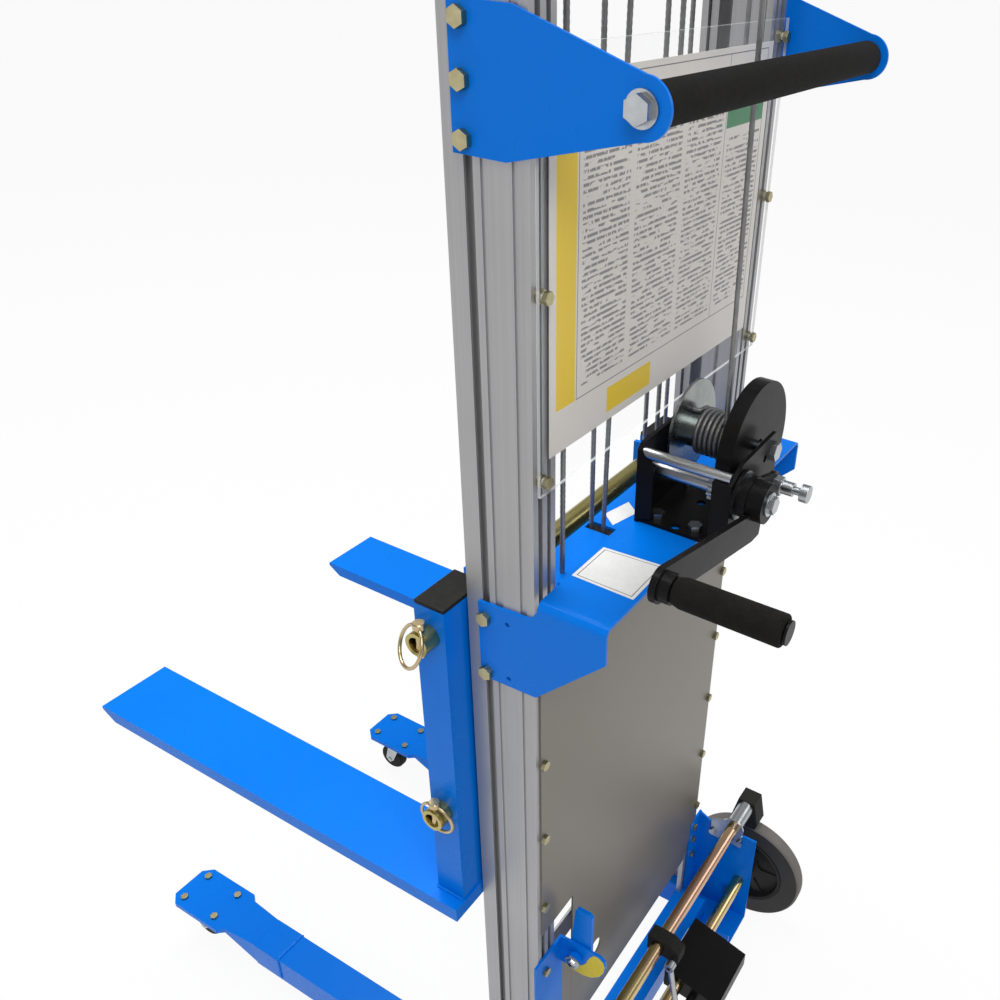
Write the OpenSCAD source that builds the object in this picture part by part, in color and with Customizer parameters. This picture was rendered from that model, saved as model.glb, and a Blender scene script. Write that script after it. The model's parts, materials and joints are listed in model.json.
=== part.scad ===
// Hand-cranked winch lift: two-stage aluminium mast, fork carriage and wheeled base.
// X runs to the operator's right, Y forward to the fork tips, Z up.
// The origin is on the floor below the middle of the whole lift. The modules measure Y from
// the masts' rear faces, and place() moves that to the origin.

/* [Mast] */
// Height of the outer masts' tops above the floor
mast_top = 1700; // [1660:5:1740]
// Clear width between the outer masts
mast_gap = 358; // [350:2:370]
// Width of an outer mast profile
mast_w = 32; // [31:1:35]
// Depth of an outer mast profile
mast_d = 75; // [75:1:78]
// Height by which the inner mast stands raised
inner_raise = 175; // [120:5:175]
// Height of the fork blades' top faces
fork_top = 500; // [480:5:520]

/* [Handle] */
// Height of the push bar's axis
bar_z = 1344; // [1320:2:1370]
// Distance of the push bar's axis behind the masts
bar_reach = 88; // [70:1:110]
// Diameter of the foam sleeve on the push bar
foam_d = 29; // [27:0.5:33]
// Thickness of the handle plates
plate_t = 3; // [2.5:0.5:4]

/* [Panels] */
// Height of the clear panel's lower edge
panel_low = 1033; // [1020:1:1050]
// Height of the clear panel's upper edge
panel_high = 1370; // [1340:1:1390]
// Thickness of the clear panel
panel_t = 3; // [2:0.5:4]
// Thickness of the cover sheet
cover_t = 2; // [1.5:0.5:2.5]
// Height of the cover sheet's lower edge
cover_low = 180; // [160:5:200]

/* [Winch bracket] */
// Height of the bracket's top face, which carries the winch
shelf_z = 929; // [915:1:935]
// Depth of the shelf behind the masts
shelf_d = 76; // [72:1:84]
// Sheet thickness of the bracket
shelf_t = 3; // [2.5:0.5:4]

/* [Winch] */
// Module of the winch gears
gear_mod = 2; // [1.95:0.05:2.05]
// Teeth of the pinion
pinion_teeth = 12; // [12:1:13]
// Teeth of the drum gear
gear_teeth = 62; // [60:1:62]
// Radius of the drum flange
flange_r = 50.5; // [46:0.5:53]
// Radius of the drum barrel
barrel_r = 20; // [18:0.5:22]
// Diameter of the wire ropes
rope_d = 5; // [4:0.5:5]
// Step of the rope's turns on the drum
rope_step = 5.5; // [5.5:0.1:6]
// Turns of rope on the drum
rope_turns = 6.75; // [4.75:1:6.75]
// Crank radius
crank_r = 187; // [170:1:200]
// Height of the crank arm's bar
crank_bar_w = 31; // [26:1:34]
// Length of the crank grip
grip_len = 93; // [85:1:110]

/* [Carriage and forks] */
// Width of a fork blade
blade_w = 95; // [90:1:100]
// Depth of a fork blade
blade_t = 19; // [17:1:22]
// Reach of the fork tips ahead of the masts' rear faces
fork_reach = 674; // [640:2:700]
// Width of a fork post
post_w = 58; // [54:1:60]
// Height of a fork post above the blade
post_h = 397; // [392:1:402]
// Diameter of the fork shafts
shaft_d = 25; // [22:1:27]

/* [Base] */
// Height of the front legs' top faces
leg_top = 94; // [90:1:98]
// Width and height of a leg tube
leg_w = 47; // [44:1:50]
// Reach of the legs' head plates ahead of the masts' rear faces
leg_reach = 673; // [650:1:700]
// Diameter of the rear wheels
wheel_d = 198; // [194:1:200]
// Width of the rear tyres
tyre_w = 24; // [22:1:28]
// Distance of the rear axle behind the masts
axle_back = 69; // [66:1:72]
// Diameter of the caster wheels
caster_d = 50; // [46:1:52]
// Diameter of the brake bar and the pedal shaft
brake_bar_d = 19; // [16:1:21]

/* [Hidden] */
$fn = 48;
e = 0.01;
gap = 0.3;
fit = 0.05;
mi = mast_gap / 2;
mo = mi + mast_w;
side_wall = 7.2;
end_wall = 7;
slot_y = mast_d - 22;
slot_lip = 2.2;
slot_deep = 3.6;
rear_slot_x = mo - 10;
rear_slot_w = 6;
small_slot_x = mi + 9.5;
small_slot_w = 5;
cav_x1 = mo - side_wall;
cav_y1 = mast_d - end_wall;

inner_gap = 2;
in_x0 = mi + 3;
in_x1 = cav_x1 - inner_gap;
in_y0 = end_wall + inner_gap;
in_y1 = cav_y1 - inner_gap;
in_wall = 3;
in_slot_y0 = slot_y - 9;
in_slot_y1 = slot_y + 5;
in_web_y = in_slot_y0 - 9;
guide_y = (in_web_y + in_wall + in_y1 - in_wall) / 2;
pad_step = 300;
pad_h = 60;
in_low = leg_top + 16 + inner_raise;
in_len = mast_top - leg_top - 12;
in_high = in_low + in_len;

bar_y = -bar_reach;
plate_z0 = bar_z - 48.7;
plate_z1 = bar_z + 49.3;
nose_r = 20;
plate_bolts_z = [bar_z - 38.3, bar_z, bar_z + 38.2];
spacer_t = 3;
panel_y = -spacer_t - panel_t;
panel_screws_z = [panel_low + 12, (panel_low + panel_high) / 2, panel_high - 16];
sheet_t = 0.6;

shelf_front = -cover_t;
step_z = shelf_z - 11;
step_depth = mast_d - 34.5;
fold_r = 9;
fold_x = mo + shelf_t - fold_r;
bracket_bolts_z = [step_z - 29, step_z - 93];
cover_high = step_z - shelf_t - 0.5;
cover_screws_z = [720, 612, 500, 389, 280];

pin_x = -31;
pin_z = shelf_z + 56;
mesh_angle = 12.1;
centre_dist = gear_mod * (pinion_teeth + gear_teeth) / 2;
drum_x = pin_x + centre_dist * cos(mesh_angle);
drum_z = pin_z + centre_dist * sin(mesh_angle);
frame_t = 4;
frame_z = shelf_z + frame_t;
cheek_y0 = -10;
rear_cheek_y = -108;
drum_y0 = -16;
drum_y1 = -78.5;
flange_t = 3;
gear_w = 11;
gear_r = gear_mod * (gear_teeth / 2 + 1);
cover_gap = 1.2;
cover_wall = 1.8;
hub_r = 20;
arm_y = -128;
arm_t = 6;
arm_angle = 12.9;
carrier_t = 5;
grip_x = pin_x - crank_r + 1;
grip_z = pin_z + 15;
middle_y = (fork_reach + arm_y - 14 - grip_len) / 2;
plunger_x = 20;
plunger_z = pin_z - 8;

rope_r = rope_d / 2;
rope_pr = barrel_r + rope_r + gap;
lead_y0 = -28.5;
lead_y1 = lead_y0 - rope_step * rope_turns;
fall_y = [in_y0 + 11, in_y0 + 25];
fall_x = [-65.6, 35.6];
foot_sheave_x = (fall_x[0] + fall_x[1]) / 2;
foot_pr = (fall_x[1] - fall_x[0]) / 2;
foot_z = in_low + 20;
fall_top = step_z - 28;
lead_top = [18.9, -54];
lead_z = mast_top - 45;
lead_pr = norm([fall_x[1] - lead_top[0], fall_y[0] - lead_top[1]]) / 2;
lead_c = [(fall_x[1] + lead_top[0]) / 2, (fall_y[0] + lead_top[1]) / 2];
lead_a = atan2(fall_y[0] - lead_top[1], fall_x[1] - lead_top[0]);
mid_left = [-45, fall_y[0]];
mid_z = mast_top - 110;
mid_pr = norm([fall_x[1] - mid_left[0], fall_y[1] - mid_left[1]]) / 2;
mid_c = [(fall_x[1] + mid_left[0]) / 2, (fall_y[1] + mid_left[1]) / 2];
mid_a = atan2(fall_y[1] - mid_left[1], fall_x[1] - mid_left[0]);
sheave_w = 10;
sheave_lip = 4;
pin_r = 5;

chain_x = mi - 29;
chain_pr = 29;
chain_y = in_y0 + 3 + chain_pr;
chain_z = in_high - 36;

shaft_y = mast_d + 23;
shaft_r = shaft_d / 2;
shaft_z = [fork_top + 134, fork_top + 366];
shaft_end = mo + 47;
post_y0 = mast_d + 4;
post_d = 35;
post_wall = 3;
post_top = fork_top + post_h;
fork_left_x = -mo;
fork_right_x = mo - 11;
car_x0 = mi - 19;
car_t = 6;
car_y0 = guide_y - 6;
car_y1 = shaft_y + shaft_r + 6;
car_z0 = shaft_z[0] - 34;
car_z1 = shaft_z[1] + 26;
guide_z = [shaft_z[0] - 4, shaft_z[1] + 4];

leg_x0 = mi + 9;
leg_x1 = leg_x0 + leg_w;
leg_xc = (leg_x0 + leg_x1) / 2;
leg_low = leg_top - leg_w;
tube_wall = 3;
head_y0 = leg_reach - 114;
neck_y0 = head_y0 - 64;
head_w = 73;
head_t = 8;
head_bolts = [[-22, 30], [22, 30], [-22, 96], [22, 96]];
caster_y = leg_reach - 50;
caster_r = caster_d / 2;
caster_trail = -18;
caster_w = 18;

wheel_r = wheel_d / 2;
wheel_x0 = mo + 61;
axle_y = -axle_back;
side_x = mo + 11;
side_t = 3;
bracket_back = -100;
bracket_z0 = 54;
bracket_z1 = 233;
bracket_top = bracket_z1 + 12;
brake_y = -60;
brake_z = bracket_z1 + 10;
brake_r = brake_bar_d / 2;
pedal_y = -81;
pedal_z = 133;
wheel_gap_to_bar = norm([brake_y - axle_y, brake_z - wheel_r]) - wheel_r;
clamp_x = -7;
clamp_w = 20;
stud_x = clamp_x - clamp_w / 2 - 12;
stud_arm = [-26, -8];
pedal_x0 = 14;
pedal_x1 = 110;
block_r = wheel_gap_to_bar - 0.3;
latch_x = mi - 13;
latch_z = 389;

// Shared helpers

module place() {
    translate([0, -middle_y, 0]) children();
}

module both() {
    children();
    mirror([1, 0, 0]) children();
}

module left() {
    mirror([1, 0, 0]) children();
}

// A plate drawn in Y and Z, from x0 on, t thick
module plate_x(x0, t) {
    translate([x0, 0, 0]) rotate([90, 0, 90]) linear_extrude(t) children();
}

// A plate drawn in X and Z, from y0 on, t thick
module plate_y(y0, t) {
    translate([0, y0 + t, 0]) rotate([90, 0, 0]) linear_extrude(t) children();
}

module rod_x(x0, x1, y, z, r) {
    translate([x0, y, z]) rotate([0, 90, 0]) cylinder(h = x1 - x0, r = r);
}

module rod_y(y0, y1, x, z, r) {
    translate([x, y0, z]) rotate([-90, 0, 0]) cylinder(h = y1 - y0, r = r);
}

module rod_z(z0, z1, x, y, r) {
    translate([x, y, z0]) cylinder(h = z1 - z0, r = r);
}

module box(lo, hi) {
    translate(lo) cube(hi - lo);
}

// A hex bolt along Z whose head stands on z = 0, with a nut at the far end where nut_h is not 0
module bolt(r, head, head_h, shank, nut, nut_h) {
    cylinder(h = head_h, r = head / sqrt(3), $fn = 6);
    translate([0, 0, -shank]) cylinder(h = shank + e, r = r);
    if (nut_h > 0)
        translate([0, 0, -shank]) cylinder(h = nut_h, r = nut / sqrt(3), $fn = 6);
}

// A slot bolt that clamps a plate of thickness t to a slotted face of a mast
module slot_bolt(r, head, t, nut) {
    bolt(r, head, head * 0.42, t + slot_lip + 3, nut, 3);
}

// Point where the tangent from p meets the circle about c
function tangent_point(p, c, r, s) =
    let (d = c - p, l = norm(d), a = atan2(d[1], d[0]) + 180, b = s * acos(r / l))
    c + r * [cos(a + b), sin(a + b)];

// Masts

module mast_profile() {
    difference() {
        square([mast_w, mast_d]);
        translate([-1, end_wall]) square([cav_x1 - mi + 1, cav_y1 - end_wall]);
        translate([mast_w - slot_lip, slot_y - 4]) square([slot_lip + 1, 8]);
        translate([mast_w - slot_lip - slot_deep, slot_y - 6.8]) square([slot_deep, 13.6]);
        translate([mast_w - 1.5, slot_y - 19]) square([2.5, 8.5]);
        translate([mast_w - 1.5, 8.1]) square([2.5, 6.9]);
        for (s = [[rear_slot_x - mi, rear_slot_w, 10.6], [small_slot_x - mi, small_slot_w, 8.6]]) {
            translate([s[0] - s[1] / 2, -1]) square([s[1], slot_lip + 1]);
            translate([s[0] - s[2] / 2, slot_lip]) square([s[2], slot_deep]);
        }
    }
}

module outer_masts() {
    place() color("silver") both()
        translate([mi, 0, leg_top]) linear_extrude(mast_top - leg_top) mast_profile();
}

module inner_profile() {
    difference() {
        translate([in_x0, in_y0]) square([in_x1 - in_x0, in_y1 - in_y0]);
        translate([in_x0 + in_wall, in_y0 + in_wall])
            square([in_x1 - in_x0 - 2 * in_wall, in_web_y - in_y0 - in_wall]);
        translate([in_x0 + in_wall, in_web_y + in_wall])
            square([in_x1 - in_x0 - 2 * in_wall, in_y1 - in_web_y - 2 * in_wall]);
        translate([in_x0 - 1, in_slot_y0]) square([in_wall + 2, in_slot_y1 - in_slot_y0]);
    }
}

module inner_masts() {
    place() color("silver") both() translate([0, 0, in_low]) linear_extrude(in_len) inner_profile();
}

module inner_cross_members() {
    place() color("gray") {
        difference() {
            box([-in_x1, in_y0, in_high], [in_x1, in_y1, in_high + 30]);
            box([-in_x1 - 1, in_y0 + 3, in_high + 3], [in_x1 + 1, in_y1 - 3, in_high + 27]);
        }
        both() for (x = [chain_x - 9.5, chain_x + 6.5])
            box([x, chain_y - 14, chain_z - 12], [x + 3, chain_y + 14, in_high + e]);
        both() rod_x(chain_x - 12, chain_x + 12, chain_y, chain_z, pin_r);
        for (y = [in_y0 + 1, fall_y[1] + sheave_w / 2 + 1.5])
            plate_y(y, 3) difference() {
                translate([-in_x0, in_low]) square([2 * in_x0, 40]);
                translate([foot_sheave_x, foot_z]) circle(r = pin_r);
            }
        rod_y(in_y0 + 1, fall_y[1] + sheave_w / 2 + 4.5, foot_sheave_x, foot_z, pin_r);
        both() box([in_x0 - 24, in_y0 + 4 - e, in_low],
            [in_x0 - 18, fall_y[1] + sheave_w / 2 + 1.5 + e, in_low + 40]);
    }
}

module inner_pads() {
    place() color("white") both() for (z = [in_low + 6, in_low + pad_step]) {
        box([in_x0 + 3, end_wall + gap, z], [in_x1 - 3, in_y0, z + pad_h]);
        box([in_x0 + 3, in_y1, z], [in_x1 - 3, cav_y1 - gap, z + pad_h]);
        box([in_x1, in_y0 + 8, z], [cav_x1 - gap, in_y1 - 8, z + pad_h]);
    }
}

// Top of the outer masts

module in_sheave_plane(c, a, z) {
    translate([c[0], c[1], z]) rotate([0, 0, a]) children();
}

module crosshead() {
    place() color("dodgerblue") {
        difference() {
            union() {
                plate_y(-3, 3) translate([-mo, mast_top - 160]) square([2 * mo, 150]);
                box([-mi + 1, -e, mast_top - 13], [mi - 1, 5, mast_top - 10]);
            }
            in_sheave_plane(lead_c, lead_a, lead_z)
                translate([-60, -sheave_w / 2 - 5.5, -60]) cube([120, sheave_w + 11, 200]);
            for (x = [rear_slot_x, -rear_slot_x], z = [mast_top - 140, mast_top - 30])
                rod_y(-4, 1, x, z, 3.3);
        }
        for (s = [-1, 1]) in_sheave_plane(lead_c, lead_a, lead_z)
            translate([0, s * (sheave_w / 2 + 4), 0]) rotate([90, 0, 0])
                translate([0, 0, -1.5]) linear_extrude(3) difference() {
                    translate([-16, -22]) square([44, 45]);
                    circle(r = pin_r);
                }
        in_sheave_plane(lead_c, lead_a, lead_z)
            rod_y(-sheave_w / 2 - 8, sheave_w / 2 + 8, 0, 0, pin_r);
        in_sheave_plane(mid_c, mid_a, mid_z) {
            rod_y(-34, sheave_w / 2 + 8, 0, 0, pin_r);
            rod_y(-34, -sheave_w / 2 - 1.5, 0, 0, 9);
        }
        rod_z(lead_z - 60, lead_z - 20, fall_x[0], fall_y[1], 6);
        box([fall_x[0] - 5, -e, lead_z - 50], [fall_x[0] + 5, fall_y[1], lead_z - 30]);
    }
}

module sheave(pr) {
    rotate([90, 0, 0]) rotate_extrude() difference() {
        translate([pin_r + fit, -sheave_w / 2]) square([pr + sheave_lip - pin_r - fit, sheave_w]);
        translate([pr, 0]) circle(r = rope_r + gap);
        translate([pr, -rope_r - gap]) square([sheave_lip + 1, rope_d + 2 * gap]);
        translate([pr * 0.45, 2.5]) square([pr * 0.35, sheave_w]);
        translate([pr * 0.45, -2.5 - sheave_w]) square([pr * 0.35, sheave_w]);
    }
}

module lead_sheave() {
    place() color("dimgray") in_sheave_plane(lead_c, lead_a, lead_z) sheave(lead_pr);
}

module middle_sheave() {
    place() color("dimgray") in_sheave_plane(mid_c, mid_a, mid_z) sheave(mid_pr);
}

module foot_sheave_rear() {
    place() color("dimgray") translate([foot_sheave_x, fall_y[0], foot_z]) sheave(foot_pr);
}

module foot_sheave_front() {
    place() color("dimgray") translate([foot_sheave_x, fall_y[1], foot_z]) sheave(foot_pr);
}

module carriage_sheaves() {
    place() color("dimgray") both() translate([chain_x, chain_y, chain_z]) rotate([0, 0, 90]) sheave(chain_pr);
}

// Wire ropes

// Each entry of a rope's path is a centre point and a direction across the rope
function unit(v) = v / norm(v);
function across(s, t) = unit(s - (s * t) * t);
function rope_ring(p, s, t, n) =
    let (u = across(s, t), v = cross(t, u))
    [for (i = [0 : n - 1]) p + rope_r * (cos(360 * i / n) * u + sin(360 * i / n) * v)];

module rope_tube(path, n = 6) {
    last = len(path) - 1;
    tangents = [for (i = [0 : last])
        unit(path[min(i + 1, last)][0] - path[max(i - 1, 0)][0])];
    points = [for (i = [0 : last]) each rope_ring(path[i][0], path[i][1], tangents[i], n)];
    walls = [for (i = [0 : last - 1], j = [0 : n - 1])
        let (k = (j + 1) % n, a = i * n, b = (i + 1) * n)
        each [[a + j, b + j, b + k], [a + j, b + k, a + k]]];
    ends = [for (j = [1 : n - 2])
        each [[0, j, j + 1], [last * n, last * n + j + 1, last * n + j]]];
    polyhedron(points = points, faces = concat(walls, ends));
}

// Winding: in from the flange, a quarter bend, the turns, and off the drum on its left side
wind_end = 180;
wind_start = wind_end + 360 * rope_turns;
bend_r = 5;
function drum_point(a, y) = [drum_x + rope_pr * cos(a), y, drum_z + rope_pr * sin(a)];
function inward(a) = [-cos(a), 0, -sin(a)];
bend_angle = bend_r / rope_pr * 180 / PI;
wind_in = [for (y = [drum_y0 - flange_t - gap, lead_y0 + bend_r])
    [drum_point(wind_start + bend_angle, y), inward(wind_start + bend_angle)]];
wind_bend = [for (t = [30, 60])
    let (a = wind_start + bend_angle * cos(t))
    [drum_point(a, lead_y0 + bend_r * (1 - sin(t))), inward(a)]];
wind_rings = ceil(24 * rope_turns);
wind_turns = [for (i = [0 : wind_rings])
    let (f = i / wind_rings, a = wind_start + (wind_end - wind_start) * f)
    [drum_point(a, lead_y0 + (lead_y1 - lead_y0) * f), inward(a)]];
winding = concat(wind_in, wind_bend, wind_turns);
least_gap = min([for (i = [0 : len(winding) - 13], j = [i + 12 : min(i + 36, len(winding) - 1)])
    norm(winding[i][0] - winding[j][0])]) - rope_d;
echo(least_gap_of_winding = least_gap);

function wrap(c, a, z, pr, steps) = [for (i = [0 : steps])
    let (t = 180 * i / steps)
    [[c[0] - pr * cos(t) * cos(a), c[1] - pr * cos(t) * sin(a), z + pr * sin(t)],
     [sin(a), -cos(a), 0]]];

module winch_rope() {
    lead_in = [for (f = [0.02, 0.5]) [
        [drum_x - rope_pr, lead_y1, drum_z] * (1 - f) + [lead_top[0], lead_top[1], lead_z] * f,
        [1, 0, 0]]];
    down = [[[fall_x[1], fall_y[0], fall_top], [sin(lead_a), -cos(lead_a), 0]]];
    s = [sin(mid_a), -cos(mid_a), 0];
    mid_up = [[[fall_x[0], fall_y[0], fall_top], s], [[fall_x[0], fall_y[0], step_z], s]];
    mid_down = [[[fall_x[1], fall_y[1], fall_top], s]];
    place() color("slategray") {
        rope_tube(concat(winding, lead_in, wrap(lead_c, lead_a, lead_z, lead_pr, 12), down));
        rope_tube(concat(mid_up, wrap(mid_c, mid_a, mid_z, mid_pr, 12), mid_down));
        rod_z(fall_top, lead_z - 60, fall_x[0], fall_y[1], rope_r);
    }
}

module rope_falls() {
    place() color("slategray") for (x = fall_x, y = fall_y) rod_z(foot_z, fall_top, x, y, rope_r);
}

module bend_ropes() {
    place() color("slategray") {
        for (y = fall_y) translate([foot_sheave_x, y, foot_z]) rotate([90, 0, 0])
            rotate([0, 0, 180]) rotate_extrude(angle = 180) translate([foot_pr, 0]) circle(r = rope_r);
        both() translate([chain_x, chain_y, chain_z]) rotate([90, 0, 90])
            rotate_extrude(angle = 180) translate([chain_pr, 0]) circle(r = rope_r);
    }
}

module carriage_ropes_rear() {
    place() color("slategray") both() rod_z(step_z, chain_z, chain_x, chain_y - chain_pr, rope_r);
}

module carriage_ropes_front() {
    place() color("slategray") both() rod_z(car_z1, chain_z, chain_x, chain_y + chain_pr, rope_r);
}

module rope_guides() {
    place() color("black") difference() {
        union() for (x = fall_x) {
            box([x - 9, fall_y[0] - 9, fall_top - 6], [x + 9, fall_y[1] + 6, step_z - shelf_t]);
        }
        for (x = fall_x, y = fall_y) rod_z(fall_top - 7, step_z, x, y, rope_r + 0.4);
    }
}

// Handle

module handle_plate() {
    c = [bar_y, bar_z];
    low = tangent_point([17.7, plate_z0], c, nose_r - 0.6, -1);
    high = tangent_point([11.4, plate_z1], c, nose_r - 0.6, 1);
    difference() {
        plate_x(mo, plate_t) union() {
            polygon([[mast_d - 11.5, plate_z0], [mast_d - 11.5, plate_z1], [11.4, plate_z1],
                high, c, low, [17.7, plate_z0]]);
            translate(c) circle(r = nose_r);
        }
        rod_x(mo - 1, mo + plate_t + 1, bar_y, bar_z, 5.1);
        for (z = plate_bolts_z) rod_x(mo - 1, mo + plate_t + 1, slot_y, z, 4.2);
    }
}

module handle_plates() {
    place() color("dodgerblue") both() handle_plate();
}

module handle_bar() {
    place() color("silver") difference() {
        rod_x(-mo, mo, bar_y, bar_z, foam_d / 2 - 5);
        both() rod_x(mo - 26, mo + 1, bar_y, bar_z, 5);
    }
}

module handle_foam() {
    place() color("black") difference() {
        rod_x(-mo + 1.5, mo - 1.5, bar_y, bar_z, foam_d / 2);
        rod_x(-mo, mo, bar_y, bar_z, foam_d / 2 - 5);
    }
}

// Panels on the masts' rear faces

module clear_panel() {
    place() color("lightcyan") difference() {
        plate_y(panel_y, panel_t) translate([-mo + 2, panel_low])
            square([2 * mo - 6, panel_high - panel_low]);
        for (x = [rear_slot_x, -rear_slot_x], z = panel_screws_z)
            rod_y(panel_y - 1, 0, x, z, 3.3);
    }
}

module instruction_sheet() {
    place() color("white") plate_y(-spacer_t, sheet_t) translate([-rear_slot_x + 9, panel_low + 28.5])
        square([2 * rear_slot_x - 28, panel_high - panel_low - 47.5]);
}

module cover_sheet() {
    edge = mo - 6;
    place() color("darkgray") difference() {
        plate_y(-cover_t, cover_t) polygon([[-edge, cover_high], [edge, cover_high],
            [edge, bracket_top + 0.4], [mi + 9.6, bracket_top + 0.4], [mi + 9.6, cover_low + 33],
            [mi - 6, cover_low], [-143, cover_low],
            [-143, 454], [-edge, 454]]);
        for (x = [rear_slot_x, -rear_slot_x], z = cover_screws_z)
            rod_y(-cover_t - 1, 1, x, z, 3.3);
        rod_y(-cover_t - 1, 1, -88, 285, 14);
    }
}

module winch_bracket() {
    place() color("dodgerblue") difference() {
        union() {
            both() plate_x(mo, shelf_t) polygon([[60.5, step_z - 13], [2.5, step_z - 10],
                [-5, shelf_z - fold_r], [-shelf_d, shelf_z - fold_r], [-shelf_d, shelf_z - 38],
                [-2.6, step_z - 99], [60.4, step_z - 101]]);
            box([-fold_x, -shelf_d, shelf_z - shelf_t], [fold_x, -5, shelf_z]);
            both() difference() {
                rod_y(-shelf_d, -5, fold_x, shelf_z - fold_r, fold_r);
                rod_y(-shelf_d - 1, 0, fold_x, shelf_z - fold_r, fold_r - shelf_t);
                box([fold_x - 20, -shelf_d - 1, shelf_z - 20], [fold_x, 0, shelf_z + 1]);
                box([fold_x - 20, -shelf_d - 1, shelf_z - 20], [mo + 20, 0, shelf_z - fold_r]);
            }
            box([-mi + 1, shelf_front - shelf_t, step_z - shelf_t], [mi - 1, shelf_front, shelf_z]);
            box([-mi + 1, shelf_front - shelf_t, step_z - shelf_t], [mi - 1, step_depth, step_z]);
        }
        for (x = fall_x) box([x - 7, fall_y[0] - 11, step_z - 10],
            [x + 7, fall_y[1] + 4, step_z + 1]);
        both() {
            for (z = bracket_bolts_z) rod_x(mo - 1, mo + 9, slot_y, z, 4.2);
            for (z = bracket_bolts_z) rod_x(mo - 1, mo + 9, slot_y - 25, z + 2, 2.5);
        }
        for (x = [pin_x - 3.5, drum_x - 6], y = [-24, -66]) rod_z(shelf_z - 4, shelf_z + 1, x, y, 4.2);
    }
    place() color("dodgerblue") both()
        rod_z(step_z - shelf_t - 14, step_z, chain_x, chain_y - chain_pr, 6);
}

// Fasteners

module yellow_bolts() {
    place() color("darkkhaki") both() {
        for (z = plate_bolts_z) translate([mo + plate_t, slot_y, z]) rotate([0, 90, 0])
            slot_bolt(4, 13, plate_t, 11.5);
        for (z = bracket_bolts_z) translate([mo + shelf_t, slot_y, z]) rotate([0, 90, 0])
            slot_bolt(4, 13, shelf_t, 11.5);
    }
    place() color("darkkhaki") {
        for (s = [-1, 1], z = [230, 203, 168]) translate([s * rear_slot_x, -side_t, z])
            rotate([90, 0, 0]) slot_bolt(2.9, 10, side_t, 8.8);
        for (z = [384, 300]) translate([-rear_slot_x, -side_t, z])
            rotate([90, 0, 0]) slot_bolt(2.9, 10, side_t, 8.8);
        for (s = [-1, 1], z = [mast_top - 140, mast_top - 30]) translate([s * rear_slot_x, -3, z])
            rotate([90, 0, 0]) slot_bolt(2.9, 10, 3, 8.8);
        both() for (b = head_bolts) translate([leg_xc + b[0], head_y0 + b[1], leg_top])
            bolt(3, 10, 4, head_t + 7, 10, 4);
        for (x = [rear_slot_x, -rear_slot_x], z = panel_screws_z)
            translate([x, panel_y, z]) rotate([90, 0, 0]) slot_bolt(2.9, 10, spacer_t + panel_t, 8.8);
        for (x = [rear_slot_x, -rear_slot_x], z = cover_screws_z)
            if (x > 0 || z > 480)
                translate([x, -cover_t, z]) rotate([90, 0, 0]) slot_bolt(2.9, 10, cover_t, 8.8);
        for (x = [rear_slot_x, -rear_slot_x], z = panel_screws_z) difference() {
            rod_y(-spacer_t, 0, x, z, 6);
            rod_y(-spacer_t - 1, 1, x, z, 2.9);
        }
    }
}

module zinc_hardware() {
    place() color("lightgray") {
        both() translate([mo + plate_t + 2.5, bar_y, bar_z]) rotate([0, 90, 0])
            bolt(5, 17, 7, plate_t + 2.5 + 24, 0, 0);
        both() difference() {
            rod_x(mo + plate_t, mo + plate_t + 2.5, bar_y, bar_z, 12);
            rod_x(mo, mo + 10, bar_y, bar_z, 5);
        }
        for (x = [pin_x - 3.5, drum_x - 6], y = [-24, -66]) translate([x, y, frame_z])
            bolt(4, 13, 5.5, frame_t + shelf_t + 6.5, 13, 6.5);
        both() translate([side_x, axle_y, wheel_r]) rotate([0, -90, 0])
            bolt(6, 19, 7, wheel_x0 + tyre_w - side_x + 10, 19, 8);
        both() difference() {
            rod_x(side_x + side_t, wheel_x0 - 1 - gap, axle_y, wheel_r, 9);
            rod_x(side_x, wheel_x0, axle_y, wheel_r, 6);
        }
        rod_y(rear_cheek_y, cheek_y0 + frame_t, drum_x, drum_z, 6);
        for (y = [rear_cheek_y - 6, cheek_y0 + frame_t]) translate([drum_x, y, drum_z])
            rotate([-90, 0, 0]) cylinder(h = y < -50 ? 6 : 3.5, r = 10, $fn = 6);
        rod_y(rear_cheek_y + frame_t, cheek_y0, pin_x - 13.5, pin_z + 21, 5.5);
        both() difference() {
            box([leg_xc - 30, caster_y - 52, leg_top - head_t - 3],
                [leg_xc + 30, caster_y + 40, leg_top - head_t]);
            for (b = head_bolts) rod_z(leg_top - 20, leg_top + 1, leg_xc + b[0], head_y0 + b[1], 3);
            rod_z(leg_top - 12, leg_top, leg_xc, caster_y, 5.1);
        }
    }
}

// Winch

// Involute flank point at radius r, as an angle from the tooth's centre
function inv(rb, r) = let (a = acos(min(1, rb / r))) tan(a) * 180 / PI - a;
function tooth_half(n, m, r) =
    let (rp = m * n / 2, rb = rp * cos(20))
    90 / n - 2.4 / rp - (r < rb ? 0.25 * (rb - r) / m * 90 / n : 0)
        + inv(rb, rp) - inv(rb, max(r, rb));

module gear_outline(n, m, start, root_add = 0) {
    rp = m * n / 2;
    rs = [for (i = [0 : 4]) rp - 1.25 * m + root_add + i * (2.15 * m - root_add) / 4];
    polygon([for (k = [0 : n - 1], s = [-1, 1], i = [0 : 4])
        let (r = rs[s < 0 ? i : 4 - i], a = start + 360 * k / n + s * tooth_half(n, m, r))
        r * [cos(a), sin(a)]]);
}

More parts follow.
